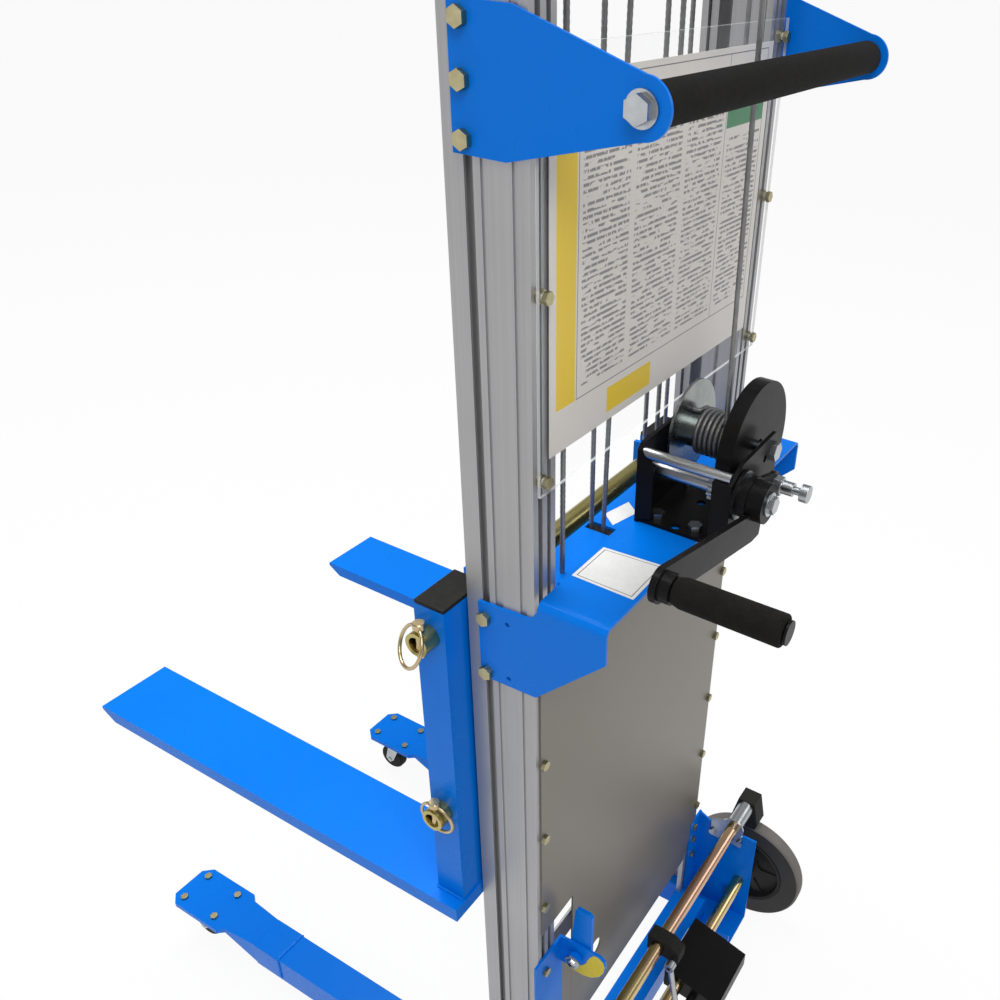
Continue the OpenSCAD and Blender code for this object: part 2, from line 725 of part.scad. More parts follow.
module winch_frame() {
    place() color("black") difference() {
        union() {
            box([-48, rear_cheek_y, shelf_z], [50, cheek_y0 + frame_t, frame_z]);
            plate_y(cheek_y0, frame_t) polygon([[-50, shelf_z], [50, shelf_z], [52, drum_z + 14],
                [44, drum_z + 18], [-44, pin_z + 31], [-50, pin_z + 25]]);
            plate_x(-50, frame_t) polygon([[cheek_y0, frame_z], [cheek_y0 - 14, frame_z + 4],
                [cheek_y0 - 14, pin_z + 10], [cheek_y0, pin_z + 26]]);
            plate_y(rear_cheek_y, frame_t) polygon([[-53, shelf_z + 11], [-45, shelf_z],
                [52, shelf_z], [54, drum_z + 14], [46, drum_z + 19], [-30, pin_z + 32],
                [-53, pin_z + 18]]);
            plate_x(-53, frame_t) polygon([[rear_cheek_y, shelf_z + 11],
                [rear_cheek_y + 20, shelf_z + 11], [rear_cheek_y + 20, pin_z + 18],
                [rear_cheek_y, pin_z + 18]]);
        }
        rod_y(rear_cheek_y - 1, 0, pin_x, pin_z, 7.05);
        rod_y(rear_cheek_y - 1, 0, drum_x, drum_z, 6);
        rod_y(rear_cheek_y - 1, rear_cheek_y + 8, plunger_x, plunger_z, 4.5);
        rod_y(rear_cheek_y - 1, rear_cheek_y + 8, drum_x - 18.5, drum_z - 1, 4);
        for (x = [pin_x - 3.5, drum_x - 6], y = [-24, -66]) rod_z(shelf_z - 1, frame_z + 1, x, y, 4.2);
        for (x = [pin_x - 10, pin_x + 45.5]) rod_z(shelf_z - 1, frame_z + 1, x, -48, 5);
    }
}

module winch_drum() {
    place() color("lightgray") difference() {
        union() {
            rod_y(drum_y0 - flange_t, drum_y0, drum_x, drum_z, flange_r);
            rod_y(drum_y1, drum_y0, drum_x, drum_z, barrel_r);
            rod_y(drum_y0, cheek_y0 - gap, drum_x, drum_z, 12);
            translate([drum_x - 20, drum_y0, drum_z + 20]) rotate([-90, 0, 0])
                cylinder(h = 4, r = 6, $fn = 6);
        }
        rod_y(-200, 0, drum_x, drum_z, 6 + fit);
    }
}

module drum_gear() {
    place() color("lightgray") difference() {
        plate_y(drum_y1 - gear_w, gear_w) translate([drum_x, drum_z])
            gear_outline(gear_teeth, gear_mod, mesh_angle + 180 + 180 / gear_teeth);
        rod_y(-200, 0, drum_x, drum_z, 6 + fit);
        for (k = [0 : 4]) rod_y(-200, 0, drum_x + 36 * cos(72 * k), drum_z + 36 * sin(72 * k), 10);
    }
}

module gear_cover() {
    r_in = gear_r + cover_gap;
    r_out = r_in + cover_wall;
    back = drum_y1 - gear_w - 3.5;
    place() color("black") difference() {
        union() {
            rod_y(back, drum_y1 + 1.5, drum_x, drum_z, r_out);
            for (p = [[drum_x - 15, drum_z - 28], [drum_x + 2, drum_z - 30]])
                rod_y(rear_cheek_y + frame_t, back, p[0], p[1], 4);
        }
        rod_y(back + cover_wall, drum_y1 + 2, drum_x, drum_z, r_in);
        rod_y(back - 1, drum_y1 + 2, pin_x, pin_z, gear_mod * (pinion_teeth / 2 + 1) + 2.5);
        rod_y(back - 1, drum_y1 + 2, drum_x, drum_z, 8);
        box([-200, back - 1, 0], [200, drum_y1 + 2, frame_z + 0.5]);
    }
}

module pinion_shaft() {
    place() color("lightgray") {
        rod_y(drum_y1, cheek_y0 + frame_t, pin_x, pin_z, 7);
        rod_y(arm_y - 13, drum_y1 - gear_w, pin_x, pin_z, 7);
        plate_y(drum_y1 - gear_w, gear_w) translate([pin_x, pin_z])
            gear_outline(pinion_teeth, gear_mod, mesh_angle, 0.3);
        rod_y(arm_y - 12, arm_y - 10, pin_x, pin_z, 12);
        rod_y(rear_cheek_y - 4, rear_cheek_y - 1, pin_x, pin_z, 25);
        translate([pin_x, arm_y - 17, pin_z]) rotate([-90, 0, 0]) cylinder(h = 6, r = 9, $fn = 6);
    }
}

module crank_arm() {
    end_z = grip_z;
    away = [cos(180 - arm_angle), sin(180 - arm_angle)];
    up = [sin(arm_angle), cos(arm_angle)];
    far = [grip_x, end_z];
    near = far - away * ((far[0] - pin_x + 3) / away[0]);
    half = crank_bar_w / 2;
    place() color("black") difference() {
        union() {
            rod_y(arm_y - 10, rear_cheek_y - 4, pin_x, pin_z, hub_r);
            plate_y(arm_y, arm_t) union() {
                polygon([near + half * up, far + half * up, far - half * up, near - half * up]);
                translate(far) circle(r = half);
                polygon([near - half * up, near - half * up + [16, 0], [pin_x + 16, pin_z],
                    [pin_x - 16, pin_z], near + half * up - [16, 0]]);
            }
            plate_y(arm_y + arm_t - e, carrier_t) union() {
                polygon([near - half * up, [pin_x, pin_z - 20], [plunger_x, plunger_z - 12],
                    [plunger_x, plunger_z + 12], [pin_x, pin_z + 20], near + half * up]);
                translate([pin_x, pin_z]) circle(r = 22);
                translate([plunger_x, plunger_z]) circle(r = 13);
            }
            rod_y(arm_y - 10, arm_y, grip_x, grip_z, 13);
            rod_y(arm_y - 12 - grip_len, arm_y, grip_x, grip_z, 6);
            rod_y(arm_y - 12 - grip_len - 2, arm_y - 12 - grip_len, grip_x, grip_z, 10);
        }
        rod_y(-200, 0, pin_x, pin_z, 7);
        rod_y(-200, 0, plunger_x, plunger_z, 6);
    }
}

module crank_grip() {
    place() color("black") difference() {
        translate([grip_x, arm_y - 10 - gap, grip_z]) rotate([90, 0, 0]) rotate_extrude()
            polygon([[0, 0], [11, 0], [13, 8], [13.5, grip_len], [0, grip_len]]);
        rod_y(-400, 0, grip_x, grip_z, 6 + fit);
    }
}

module plunger_housing() {
    front = arm_y + arm_t;
    place() color("lightgray") difference() {
        union() {
            rod_y(front, front + carrier_t, plunger_x, plunger_z, 6);
            translate([plunger_x, front - 9, plunger_z]) rotate([-90, 0, 0])
                cylinder(h = 9, r = 10, $fn = 6);
            rod_y(front - 21, front - 9, plunger_x, plunger_z, 7);
        }
        rod_y(-200, 0, plunger_x, plunger_z, 4 + fit);
    }
}

module index_plunger() {
    front = arm_y + arm_t;
    place() color("lightgray") {
        rod_y(front - 29 - e, rear_cheek_y - 5, plunger_x, plunger_z, 4);
        rod_y(front - 37, front - 29, plunger_x, plunger_z, 9);
    }
}

// Carriage and forks

module carriage_frame() {
    place() color("dodgerblue") {
        both() difference() {
            plate_x(car_x0, car_t) polygon([[car_y0, car_z0 + 14], [car_y0 + 8, car_z0],
                [car_y1, car_z0], [car_y1, car_z1], [car_y0 + 8, car_z1], [car_y0, car_z1 - 14]]);
            for (z = shaft_z) rod_x(car_x0 - 1, car_x0 + 9, shaft_y, z, shaft_r);
        }
        for (z = [car_z0 + 20, car_z1 - 100])
            box([-car_x0 - e, car_y0 + 6, z], [car_x0 + e, car_y0 + 12, z + 50]);
        both() for (z = guide_z) rod_x(car_x0 + e, in_x1 - in_wall - 2, guide_y, z, 5);
        both() box([chain_x - 6, chain_y + chain_pr - 6, car_z1 - 20],
            [car_x0 + e, chain_y + chain_pr + 6, car_z1]);
    }
}

module carriage_guides() {
    place() color("white") both() for (z = guide_z) difference() {
        box([in_x0 + in_wall + gap, in_web_y + in_wall + gap, z - 20],
            [in_x1 - in_wall - gap, in_y1 - in_wall - gap, z + 20]);
        rod_x(0, in_x1, guide_y, z, 5);
    }
}

module fork_shafts() {
    place() color("darkkhaki") for (z = shaft_z) difference() {
        rod_x(-shaft_end, shaft_end, shaft_y, z, shaft_r);
        rod_x(-shaft_end - 1, shaft_end + 1, shaft_y, z, shaft_r - 4);
        both() rod_z(z - 20, z + 20, shaft_end - 6, shaft_y, 4);
    }
}

module fork_pins() {
    place() color("lightgray") both() for (z = shaft_z) {
        rod_z(z - 17, z + 17, shaft_end - 6, shaft_y, 4);
        rod_z(z + 16, z + 23, shaft_end - 6, shaft_y, 6);
        translate([shaft_end - 6, shaft_y, z + 20]) rotate([0, 60, 0])
            translate([23, 0, 0]) rotate_extrude() translate([20, 0]) circle(r = 1.8);
    }
}

module fork(x) {
    blade_x = x + (x < 0 ? 3.5 : -3.5);
    z0 = fork_top - blade_t;
    difference() {
        union() {
            box([x - post_w / 2, post_y0, fork_top - e], [x + post_w / 2, post_y0 + post_d, post_top]);
            translate([blade_x, 0, 0]) difference() {
                rotate([90, 0, 90]) translate([0, 0, -blade_w / 2]) linear_extrude(blade_w)
                    polygon([[mast_d + 2, z0], [fork_reach - 20, z0], [fork_reach, fork_top - 5],
                        [fork_reach, fork_top], [mast_d + 2, fork_top]]);
                box([-blade_w / 2 + 4, post_y0 + 30, z0 - 1], [blade_w / 2 - 4, fork_reach - 26,
                    fork_top - 4]);
            }
        }
        box([x - post_w / 2 + post_wall, post_y0 + post_wall, fork_top + 3],
            [x + post_w / 2 - post_wall, post_y0 + post_d - post_wall, post_top + 1]);
        for (z = shaft_z) rod_x(x - post_w, x + post_w, shaft_y, z, shaft_r + fit);
    }
}

module fork_left() {
    place() color("dodgerblue") fork(fork_left_x);
}

module fork_right() {
    place() color("dodgerblue") fork(fork_right_x);
}

module post_cap(x) {
    box([x - post_w / 2, post_y0, post_top], [x + post_w / 2, post_y0 + post_d, post_top + 4]);
    box([x - post_w / 2 + post_wall, post_y0 + post_wall, post_top - 10],
        [x + post_w / 2 - post_wall, post_y0 + post_d - post_wall, post_top + e]);
}

module post_cap_left() {
    place() color("black") post_cap(fork_left_x);
}

module post_cap_right() {
    place() color("black") post_cap(fork_right_x);
}

// Base

module rear_bracket() {
    difference() {
        union() {
            box([mi + 10, -side_t, leg_top - 12], [side_x + side_t, 0, bracket_top]);
            plate_x(side_x, side_t) polygon([[0, bracket_z0], [0, bracket_top],
                [-22, bracket_z1], [bracket_back, bracket_z1], [bracket_back, bracket_z0]]);
            box([side_x - 65, bracket_back, bracket_z0 - 3], [side_x + side_t, -side_t, bracket_z0 + e]);
            box([side_x - 65, bracket_back, bracket_z0 - 3], [side_x - 62, -44, bracket_z0 + 26]);
        }
        for (z = [230, 203, 168]) rod_y(-side_t - 1, 1, rear_slot_x, z, 3.3);
        rod_x(side_x - 1, side_x + 5, axle_y, wheel_r, 6.2);
        rod_x(side_x - 1, side_x + 5, brake_y, brake_z, brake_r + 4);
        rod_x(side_x - 1, side_x + 5, pedal_y, pedal_z, brake_r);
        for (p = [[-32, -24], [14, -24]])
            rod_x(side_x - 5, side_x + 5, brake_y - p[0], brake_z + p[1], 3.2);
    }
}

module rear_frame() {
    place() color("dodgerblue") {
        both() rear_bracket();
        difference() {
            box([-leg_x0, -42, bracket_z0], [leg_x0, 8, leg_top]);
            box([-leg_x0 - 1, -39, bracket_z0 + 3], [leg_x0 + 1, 5, leg_top - 3]);
        }
    }
}

module front_legs() {
    place() color("dodgerblue") both() difference() {
        union() {
            difference() {
                box([leg_x0, 0, leg_low], [leg_x1, neck_y0, leg_top]);
                box([leg_x0 + tube_wall, -1, leg_low + tube_wall],
                    [leg_x1 - tube_wall, neck_y0 + 1, leg_top - tube_wall]);
            }
            hull() {
                box([leg_x0, neck_y0, leg_top - leg_w], [leg_x1, neck_y0 + 2, leg_top]);
                box([leg_xc - head_w / 2 + 8, head_y0, leg_top - head_t],
                    [leg_xc + head_w / 2 - 8, head_y0 + 2, leg_top]);
            }
            translate([leg_xc, 0, leg_top - head_t]) linear_extrude(head_t) polygon([
                [-head_w / 2 + 8, head_y0], [head_w / 2 - 8, head_y0], [head_w / 2, head_y0 + 10],
                [head_w / 2, leg_reach - 14], [head_w / 2 - 12, leg_reach],
                [-head_w / 2 + 12, leg_reach], [-head_w / 2, leg_reach - 14],
                [-head_w / 2, head_y0 + 10]]);
        }
        for (b = head_bolts) rod_z(leg_top - 20, leg_top + 1, leg_xc + b[0], head_y0 + b[1], 3);
        rod_z(leg_top - 12, leg_top - 3, leg_xc, caster_y, 5.1);
    }
}

module caster_fork() {
    top = leg_top - head_t - 3 - gap;
    place() color("silver") difference() {
        union() {
            rod_z(top - 6, top, leg_xc, caster_y, 21);
            rod_z(top - 1, leg_top - 3.2, leg_xc, caster_y, 5.05);
            for (s = [-1, 1]) plate_x(leg_xc + s * (caster_w / 2 + 3) - 1.5, 3) polygon([
                [caster_y + 14, top - 5], [caster_y - 14, top - 5],
                [caster_y - caster_trail - 9, caster_r], [caster_y - caster_trail, caster_r - 8],
                [caster_y - caster_trail + 9, caster_r]]);
            rod_x(leg_xc - caster_w / 2 - 6, leg_xc + caster_w / 2 + 6,
                caster_y - caster_trail, caster_r, 4);
        }
    }
}

module caster_wheel() {
    place() color("black") translate([leg_xc, caster_y - caster_trail, caster_r]) rotate([0, 90, 0])
        rotate_extrude() polygon([[4 + fit, -caster_w / 2], [caster_r - 3, -caster_w / 2],
            [caster_r, -caster_w / 2 + 3], [caster_r, caster_w / 2 - 3],
            [caster_r - 3, caster_w / 2], [4 + fit, caster_w / 2]]);
}

module caster_fork_right() caster_fork();

module caster_fork_left() left() caster_fork();

module caster_wheel_right() caster_wheel();

module caster_wheel_left() left() caster_wheel();

module rear_hub() {
    rim = wheel_r - 32;
    place() color("dimgray") translate([wheel_x0, axle_y, wheel_r]) rotate([0, 90, 0]) difference() {
        rotate_extrude() polygon([[6 + fit, -1], [17, -1], [17, 7], [rim - 8, 9], [rim - 5, 1],
            [rim, 0], [rim, tyre_w], [rim - 5, tyre_w - 1], [rim - 8, tyre_w - 9],
            [17, tyre_w - 7], [17, tyre_w + 1], [6 + fit, tyre_w + 1]]);
        for (k = [0 : 5]) rotate([0, 0, 60 * k]) linear_extrude(60, center = true) polygon([
            [26, -9], [rim - 14, -22], [rim - 10, 0], [rim - 14, 22], [26, 9]]);
    }
}

module rear_tyre() {
    rim = wheel_r - 32;
    place() color("gray") translate([wheel_x0, axle_y, wheel_r]) rotate([0, 90, 0]) rotate_extrude()
        polygon([[rim, 1], [wheel_r - 6, 0.5], [wheel_r - 2, 1.5], [wheel_r, 5],
            [wheel_r, tyre_w - 5], [wheel_r - 2, tyre_w - 1.5], [wheel_r - 6, tyre_w - 0.5],
            [rim, tyre_w - 1]]);
}

module rear_hub_right() rear_hub();

module rear_hub_left() left() rear_hub();

module rear_tyre_right() rear_tyre();

module rear_tyre_left() left() rear_tyre();

// Foot brake

module brake_bearings() {
    c = [brake_y, brake_z];
    place() color("lightgray") both() difference() {
        plate_x(side_x - 3, 3) union() {
            polygon([[-24, bracket_z1 - 24], [-24, bracket_z1 + 12], [-44, bracket_z1 + 20],
                c, [-77, bracket_z1], [-77, bracket_z1 - 24]]);
            translate(c) circle(r = 18);
        }
        rod_x(side_x - 5, side_x + 1, brake_y, brake_z, brake_r + fit);
        for (p = [[-32, -24], [14, -24]])
            rod_x(side_x - 5, side_x + 5, brake_y - p[0], brake_z + p[1], 3.2);
    }
    place() color("lightgray") both() for (p = [[-32, -24], [14, -24]])
        translate([side_x - 3, brake_y - p[0], brake_z + p[1]]) rotate([0, -90, 0])
            bolt(3, 10, 4, 10, 10, 4);
}

module brake_bar() {
    place() color("darkkhaki") rod_x(-wheel_x0 - 4, wheel_x0 + 4, brake_y, brake_z, brake_r);
    place() color("silver") both() difference() {
        rod_x(side_x + side_t + gap, wheel_x0 - 4, brake_y, brake_z, brake_r + 3);
        rod_x(side_x, wheel_x0, brake_y, brake_z, brake_r);
    }
}

module brake_blocks() {
    low = sqrt(block_r * block_r - 400);
    stud = [brake_y + stud_arm[0], brake_z + stud_arm[1]];
    place() color("black") {
        both() difference() {
            plate_x(wheel_x0 - 4, tyre_w + 4) polygon([
                [brake_y - 20, brake_z - low], [brake_y + 20, brake_z - low],
                [brake_y + 23, brake_z - 30], [brake_y + 14, brake_z + 13],
                [brake_y - 14, brake_z + 13], [brake_y - 23, brake_z - 30]]);
            rod_x(wheel_x0 - 5, wheel_x0 + 4, brake_y, brake_z, brake_r);
        }
        difference() {
            union() {
                plate_x(clamp_x - clamp_w / 2, clamp_w) polygon([[brake_y + 17, brake_z - 14],
                    [brake_y + 17, brake_z + 14], [brake_y - 16, brake_z + 14],
                    [brake_y - 32, brake_z + 3], [brake_y - 32, brake_z - 16]]);
                rod_x(stud_x - 2, clamp_x, stud[0], stud[1], 3);
            }
            rod_x(clamp_x - 14, clamp_x + 14, brake_y, brake_z, brake_r);
        }
    }
}

module brake_link() {
    top = [stud_x, brake_y + stud_arm[0], brake_z + stud_arm[1]];
    low = [stud_x, pedal_y + stud_arm[0], pedal_z + stud_arm[1]];
    d = low - top;
    place() color("lightgray") difference() {
        union() {
            for (p = [top, low]) rod_x(stud_x - 5, stud_x + 5, p[1], p[2], 7);
            translate(top) rotate([atan2(d[1], -d[2]), 0, 0]) translate([0, 0, 5 - norm(d)])
                cylinder(h = norm(d) - 10, r = 4);
        }
        for (p = [top, low]) rod_x(stud_x - 20, stud_x + 20, p[1], p[2], 3 + fit);
    }
}

module pedal_shaft() {
    place() color("darkkhaki") rod_x(-side_x - side_t, side_x + side_t, pedal_y, pedal_z, brake_r);
}

module foot_pedal() {
    w = pedal_x1 - pedal_x0;
    place() color("black") difference() {
        union() {
            plate_x(pedal_x0, w) polygon([[-64, pedal_z + 18], [-64, pedal_z - 16],
                [-60, pedal_z - 16], [-60, pedal_z + 22], [-146, pedal_z - 2], [-146, pedal_z - 26],
                [-142, pedal_z - 26], [-142, pedal_z - 6]]);
            for (x = [pedal_x0, pedal_x1 - 4]) plate_x(x, 4) polygon([[-62, pedal_z - 16],
                [-62, pedal_z + 19.6], [-144, pedal_z - 4.6], [-144, pedal_z - 26]]);
            rod_x(stud_x - 2, pedal_x0 + e, pedal_y + stud_arm[0], pedal_z + stud_arm[1], 3);
            rod_x(pedal_x0 - 14, pedal_x0 + e, pedal_y + stud_arm[0], pedal_z + stud_arm[1], 6);
        }
        rod_x(pedal_x0 - 30, pedal_x1 + 1, pedal_y, pedal_z, brake_r + fit);
    }
}

// Hold-down latch on the left mast

module latch_bracket() {
    place() color("dodgerblue") difference() {
        union() {
            box([-mo - 8, -side_t, 262], [-latch_x, 0, latch_z + 20]);
            plate_x(-latch_x - side_t, side_t) translate([0, latch_z]) polygon([[0, -24], [0, 20],
                [-22, 22], [-58, 22], [-64, 17], [-65.5, 7], [-64, -4], [-58, -16], [-48, -25],
                [-36, -30], [-24, -30], [-12, -27]]);
        }
        for (z = [384, 300]) rod_y(-side_t - 1, 1, -rear_slot_x, z, 3.3);
        rod_x(-latch_x - 5, -latch_x + 1, -25, latch_z, 5);
    }
}

module latch_lever() {
    place() color("dodgerblue") union() {
        plate_x(-latch_x + gap, 5) translate([0, latch_z]) polygon([[-14, -16], [-18, -26],
            [-32, -26], [-38, -16], [-43, -7], [-43, 77], [-39, 81], [-23, 81], [-20, 77], [-14, 5]]);
        rod_x(-latch_x - side_t - 6, -latch_x + gap + e, -25, latch_z, 4.95);
        rod_x(-latch_x - side_t - 9, -latch_x - side_t - gap, -25, latch_z, 9);
    }
}

outer_masts();
crosshead();
handle_plates();
handle_bar();
handle_foam();
zinc_hardware();
clear_panel();
instruction_sheet();
winch_bracket();
yellow_bolts();
cover_sheet();
rope_guides();
winch_frame();
gear_cover();
winch_rope();
rope_falls();
rear_frame();
front_legs();
brake_bearings();
latch_bracket();
pedal_shaft();
winch_drum();
drum_gear();
pinion_shaft();
crank_arm();
crank_grip();
plunger_housing();
index_plunger();
lead_sheave();
middle_sheave();
foot_sheave_rear();
foot_sheave_front();
inner_masts();
inner_cross_members();
inner_pads();
bend_ropes();
carriage_ropes_rear();
carriage_ropes_front();
carriage_sheaves();
carriage_frame();
fork_shafts();
fork_pins();
carriage_guides();
fork_left();
fork_right();
post_cap_left();
post_cap_right();
caster_fork_left();
caster_fork_right();
caster_wheel_left();
caster_wheel_right();
rear_hub_left();
rear_hub_right();
rear_tyre_left();
rear_tyre_right();
brake_bar();
brake_blocks();
brake_link();
foot_pedal();
latch_lever();
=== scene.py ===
import json
import math

import bmesh
import bpy
import numpy as np
from mathutils import Euler, Matrix, Vector


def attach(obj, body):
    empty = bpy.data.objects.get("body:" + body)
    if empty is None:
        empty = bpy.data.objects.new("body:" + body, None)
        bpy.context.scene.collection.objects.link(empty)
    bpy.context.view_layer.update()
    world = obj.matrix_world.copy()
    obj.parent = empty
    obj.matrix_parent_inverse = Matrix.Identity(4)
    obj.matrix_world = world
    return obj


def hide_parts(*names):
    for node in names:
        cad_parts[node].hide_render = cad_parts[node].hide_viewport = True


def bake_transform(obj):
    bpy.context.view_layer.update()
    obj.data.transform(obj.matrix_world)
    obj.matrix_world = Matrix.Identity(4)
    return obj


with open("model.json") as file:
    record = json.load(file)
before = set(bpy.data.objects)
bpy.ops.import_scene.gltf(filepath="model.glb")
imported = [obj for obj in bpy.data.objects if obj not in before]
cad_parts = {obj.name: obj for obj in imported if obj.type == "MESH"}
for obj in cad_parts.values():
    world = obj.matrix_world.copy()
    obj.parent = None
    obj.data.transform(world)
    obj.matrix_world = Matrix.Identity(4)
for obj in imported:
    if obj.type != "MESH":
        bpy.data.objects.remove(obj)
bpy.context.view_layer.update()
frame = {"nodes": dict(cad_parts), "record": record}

scene = bpy.context.scene

# Places are in millimetres: X to the operator's right, Y forward from the rear faces of the masts,
# Z up from the floor. The middle of the whole lift is this far forward of those faces.
MASTS_BACK = 219.5
SMOOTH = math.radians(32)


def at(x, y, z):
    return Vector((x, y - MASTS_BACK, z)) / 1000


# Camera and light

camera = bpy.data.objects.new("camera", bpy.data.cameras.new("camera"))
scene.collection.objects.link(camera)
camera.location = (-0.767997, -0.623386, 1.445944)
camera.rotation_euler = Euler((1.0275895, -0.0632672, -1.0679921))
camera.data.sensor_width = 36
camera.data.lens = 34.9851
camera.data.shift_x = -0.169397
camera.data.shift_y = 0.003689
camera.data.clip_start = 0.01
scene.camera = camera


def softbox(name, place, aim, size, watts):
    lamp = bpy.data.objects.new(name, bpy.data.lights.new(name, "AREA"))
    scene.collection.objects.link(lamp)
    lamp.data.shape = "RECTANGLE"
    lamp.data.size, lamp.data.size_y = size
    lamp.data.energy = watts
    lamp.location = place
    lamp.rotation_euler = (Vector(aim) - Vector(place)).to_track_quat("-Z", "Y").to_euler()


softbox("key_light", (-1.6, -1.6, 3.8), (0, -0.1, 0.7), (1.8, 1.8), 58)
softbox("side_light", (-3.2, 1.9, 1.7), (0, -0.1, 0.7), (1.4, 2.2), 5)
softbox("rear_light", (2.6, -2.4, 2.4), (0, -0.2, 0.9), (1.6, 1.6), 16)
softbox("top_light", (0.3, 0.9, 4.2), (0, 0, 0.6), (2.4, 2.4), 122)

# Materials


class Value:
    """A socket that sums, differences and products can be written with."""

    def __init__(self, look, socket):
        self.look, self.socket = look, socket

    def math(self, operation, a, b=None):
        values = {0: a} if b is None else {0: a, 1: b}
        return self.look.node("Math", {"operation": operation}, values)

    def __add__(self, other):
        return self.math("ADD", self, other)

    def __radd__(self, other):
        return self.math("ADD", other, self)

    def __sub__(self, other):
        return self.math("SUBTRACT", self, other)

    def __rsub__(self, other):
        return self.math("SUBTRACT", other, self)

    def __mul__(self, other):
        return self.math("MULTIPLY", self, other)

    def __rmul__(self, other):
        return self.math("MULTIPLY", other, self)

    def over(self, limit, soft=0.02):
        """0 below the limit and 1 above it, with a soft step."""
        return self.look.node("MapRange", {"interpolation_type": "SMOOTHSTEP"},
                              {"Value": self, "From Min": limit - soft, "From Max": limit + soft})


class Look:
    def __init__(self, name, **constants):
        self.material = bpy.data.materials.new(name)
        self.material.use_nodes = True
        self.tree = self.material.node_tree
        self.shader = self.tree.nodes["Principled BSDF"]
        for socket, value in constants.items():
            self.give(self.shader.inputs[socket.replace("_", " ")], value)

    def give(self, socket, value):
        if isinstance(value, Value):
            self.tree.links.new(value.socket, socket)
        elif isinstance(value, tuple) and len(value) == 3 and socket.type == "RGBA":
            socket.default_value = (*value, 1)
        else:
            socket.default_value = value

    def node(self, kind, settings, values, output=0):
        new = self.tree.nodes.new("ShaderNode" + kind)
        for key, setting in settings.items():
            if key == "stops":
                while len(new.color_ramp.elements) < len(setting):
                    new.color_ramp.elements.new(0.5)
                for element, (place, colour) in zip(new.color_ramp.elements, setting):
                    element.position, element.color = place, (*colour, 1)
            else:
                setattr(new, key, setting)
        for key, value in values.items():
            self.give(new.inputs[key], value)
        return Value(self, new.outputs[output])

    def place(self, stretch=(1, 1, 1), source="Object"):
        spot = self.node("TexCoord", {}, {}, source)
        return self.node("Mapping", {}, {"Vector": spot, "Scale": stretch})

    def noise(self, scale, detail=2.0, stretch=(1, 1, 1), rough=0.5):
        return self.node("TexNoise", {}, {"Vector": self.place(stretch), "Scale": scale,
                                          "Detail": detail, "Roughness": rough})

    def part(self, axis):
        """The distance along one axis, in metres."""
        return self.node("SeparateXYZ", {}, {"Vector": self.place()}, "XYZ".index(axis))

    def mix(self, factor, first, second):
        return self.node("Mix", {"data_type": "RGBA"}, {0: factor, 6: first, 7: second}, 2)

    def colour(self, value):
        self.give(self.shader.inputs["Base Color"], value)

    def rough(self, value):
        self.give(self.shader.inputs["Roughness"], value)

    def bump(self, height, strength, depth):
        normal = self.node("Bump", {}, {"Height": height, "Strength": strength, "Distance": depth})
        self.give(self.shader.inputs["Normal"], normal)


def powder_coat(name, colour, darker, rough, coat=0.04, spec=0.09):
    look = Look(name, Coat_Weight=coat, Coat_Roughness=0.10, Specular_IOR_Level=spec)
    drift = look.noise(7, 3)
    haze = look.noise(34, 5, rough=0.6)
    look.colour(look.mix(0.7 * drift + 0.3 * haze, colour, darker))
    look.rough(rough + 0.08 * look.noise(60, 4) + 0.10 * haze)
    look.bump(look.noise(620, 1.5) + 0.4 * look.noise(210, 1), 0.22, 0.00035)
    return look.material


def plated(name, colour, second, rough, mottle=70, metallic=1.0):
    look = Look(name, Metallic=metallic)
    patches = look.noise(mottle, 4, rough=0.6)
    look.colour(look.mix(patches, colour, second))
    fine = look.noise(900, 3, stretch=(0.25, 1, 1))
    look.rough(rough + 0.18 * patches + 0.08 * fine)
    look.bump(fine, 0.10, 0.0001)
    return look.material


def drawn_aluminium(name, colour, second):
    """Extruded and anodised: long faint die lines run along the mast."""
    look = Look(name, Metallic=0.7)
    lines = look.noise(520, 3, stretch=(1, 1, 0.004), rough=0.6)
    cloud = look.noise(9, 4)
    scratch = look.noise(300, 5, stretch=(1, 1, 0.12)).over(0.72, 0.03)
    look.colour(look.mix(lines * 0.6 + 0.3 * cloud, colour, second))
    look.rough(0.34 + 0.14 * lines + 0.10 * cloud - 0.10 * scratch)
    look.bump(lines + 0.3 * scratch, 0.16, 0.00012)
    return look.material


def foam(name):
    look = Look(name, Specular_IOR_Level=0.07, Sheen_Weight=0.02, Sheen_Roughness=0.6)
    cells = look.node("TexVoronoi", {}, {"Vector": look.place(), "Scale": 950.0}, "Distance")
    look.colour(look.mix(look.noise(120, 4), (0.006, 0.0055, 0.005), (0.015, 0.014, 0.013)))
    look.rough(0.80 + 0.15 * look.noise(300, 3))
    look.bump(cells + 0.6 * look.noise(1500, 2), 0.55, 0.0005)
    return look.material


def moulded(name, colour, second, rough, grain=1100, strength=0.25, spec=0.4):
    look = Look(name, Specular_IOR_Level=spec)
    dust = look.noise(26, 5, rough=0.65).over(0.62, 0.12)
    look.colour(look.mix(dust * 0.5, look.mix(look.noise(180, 3), colour, second), second))
    look.rough(rough + 0.12 * look.noise(90, 3) + 0.08 * dust)
    look.bump(look.noise(grain, 2), strength, 0.00025)
    return look.material


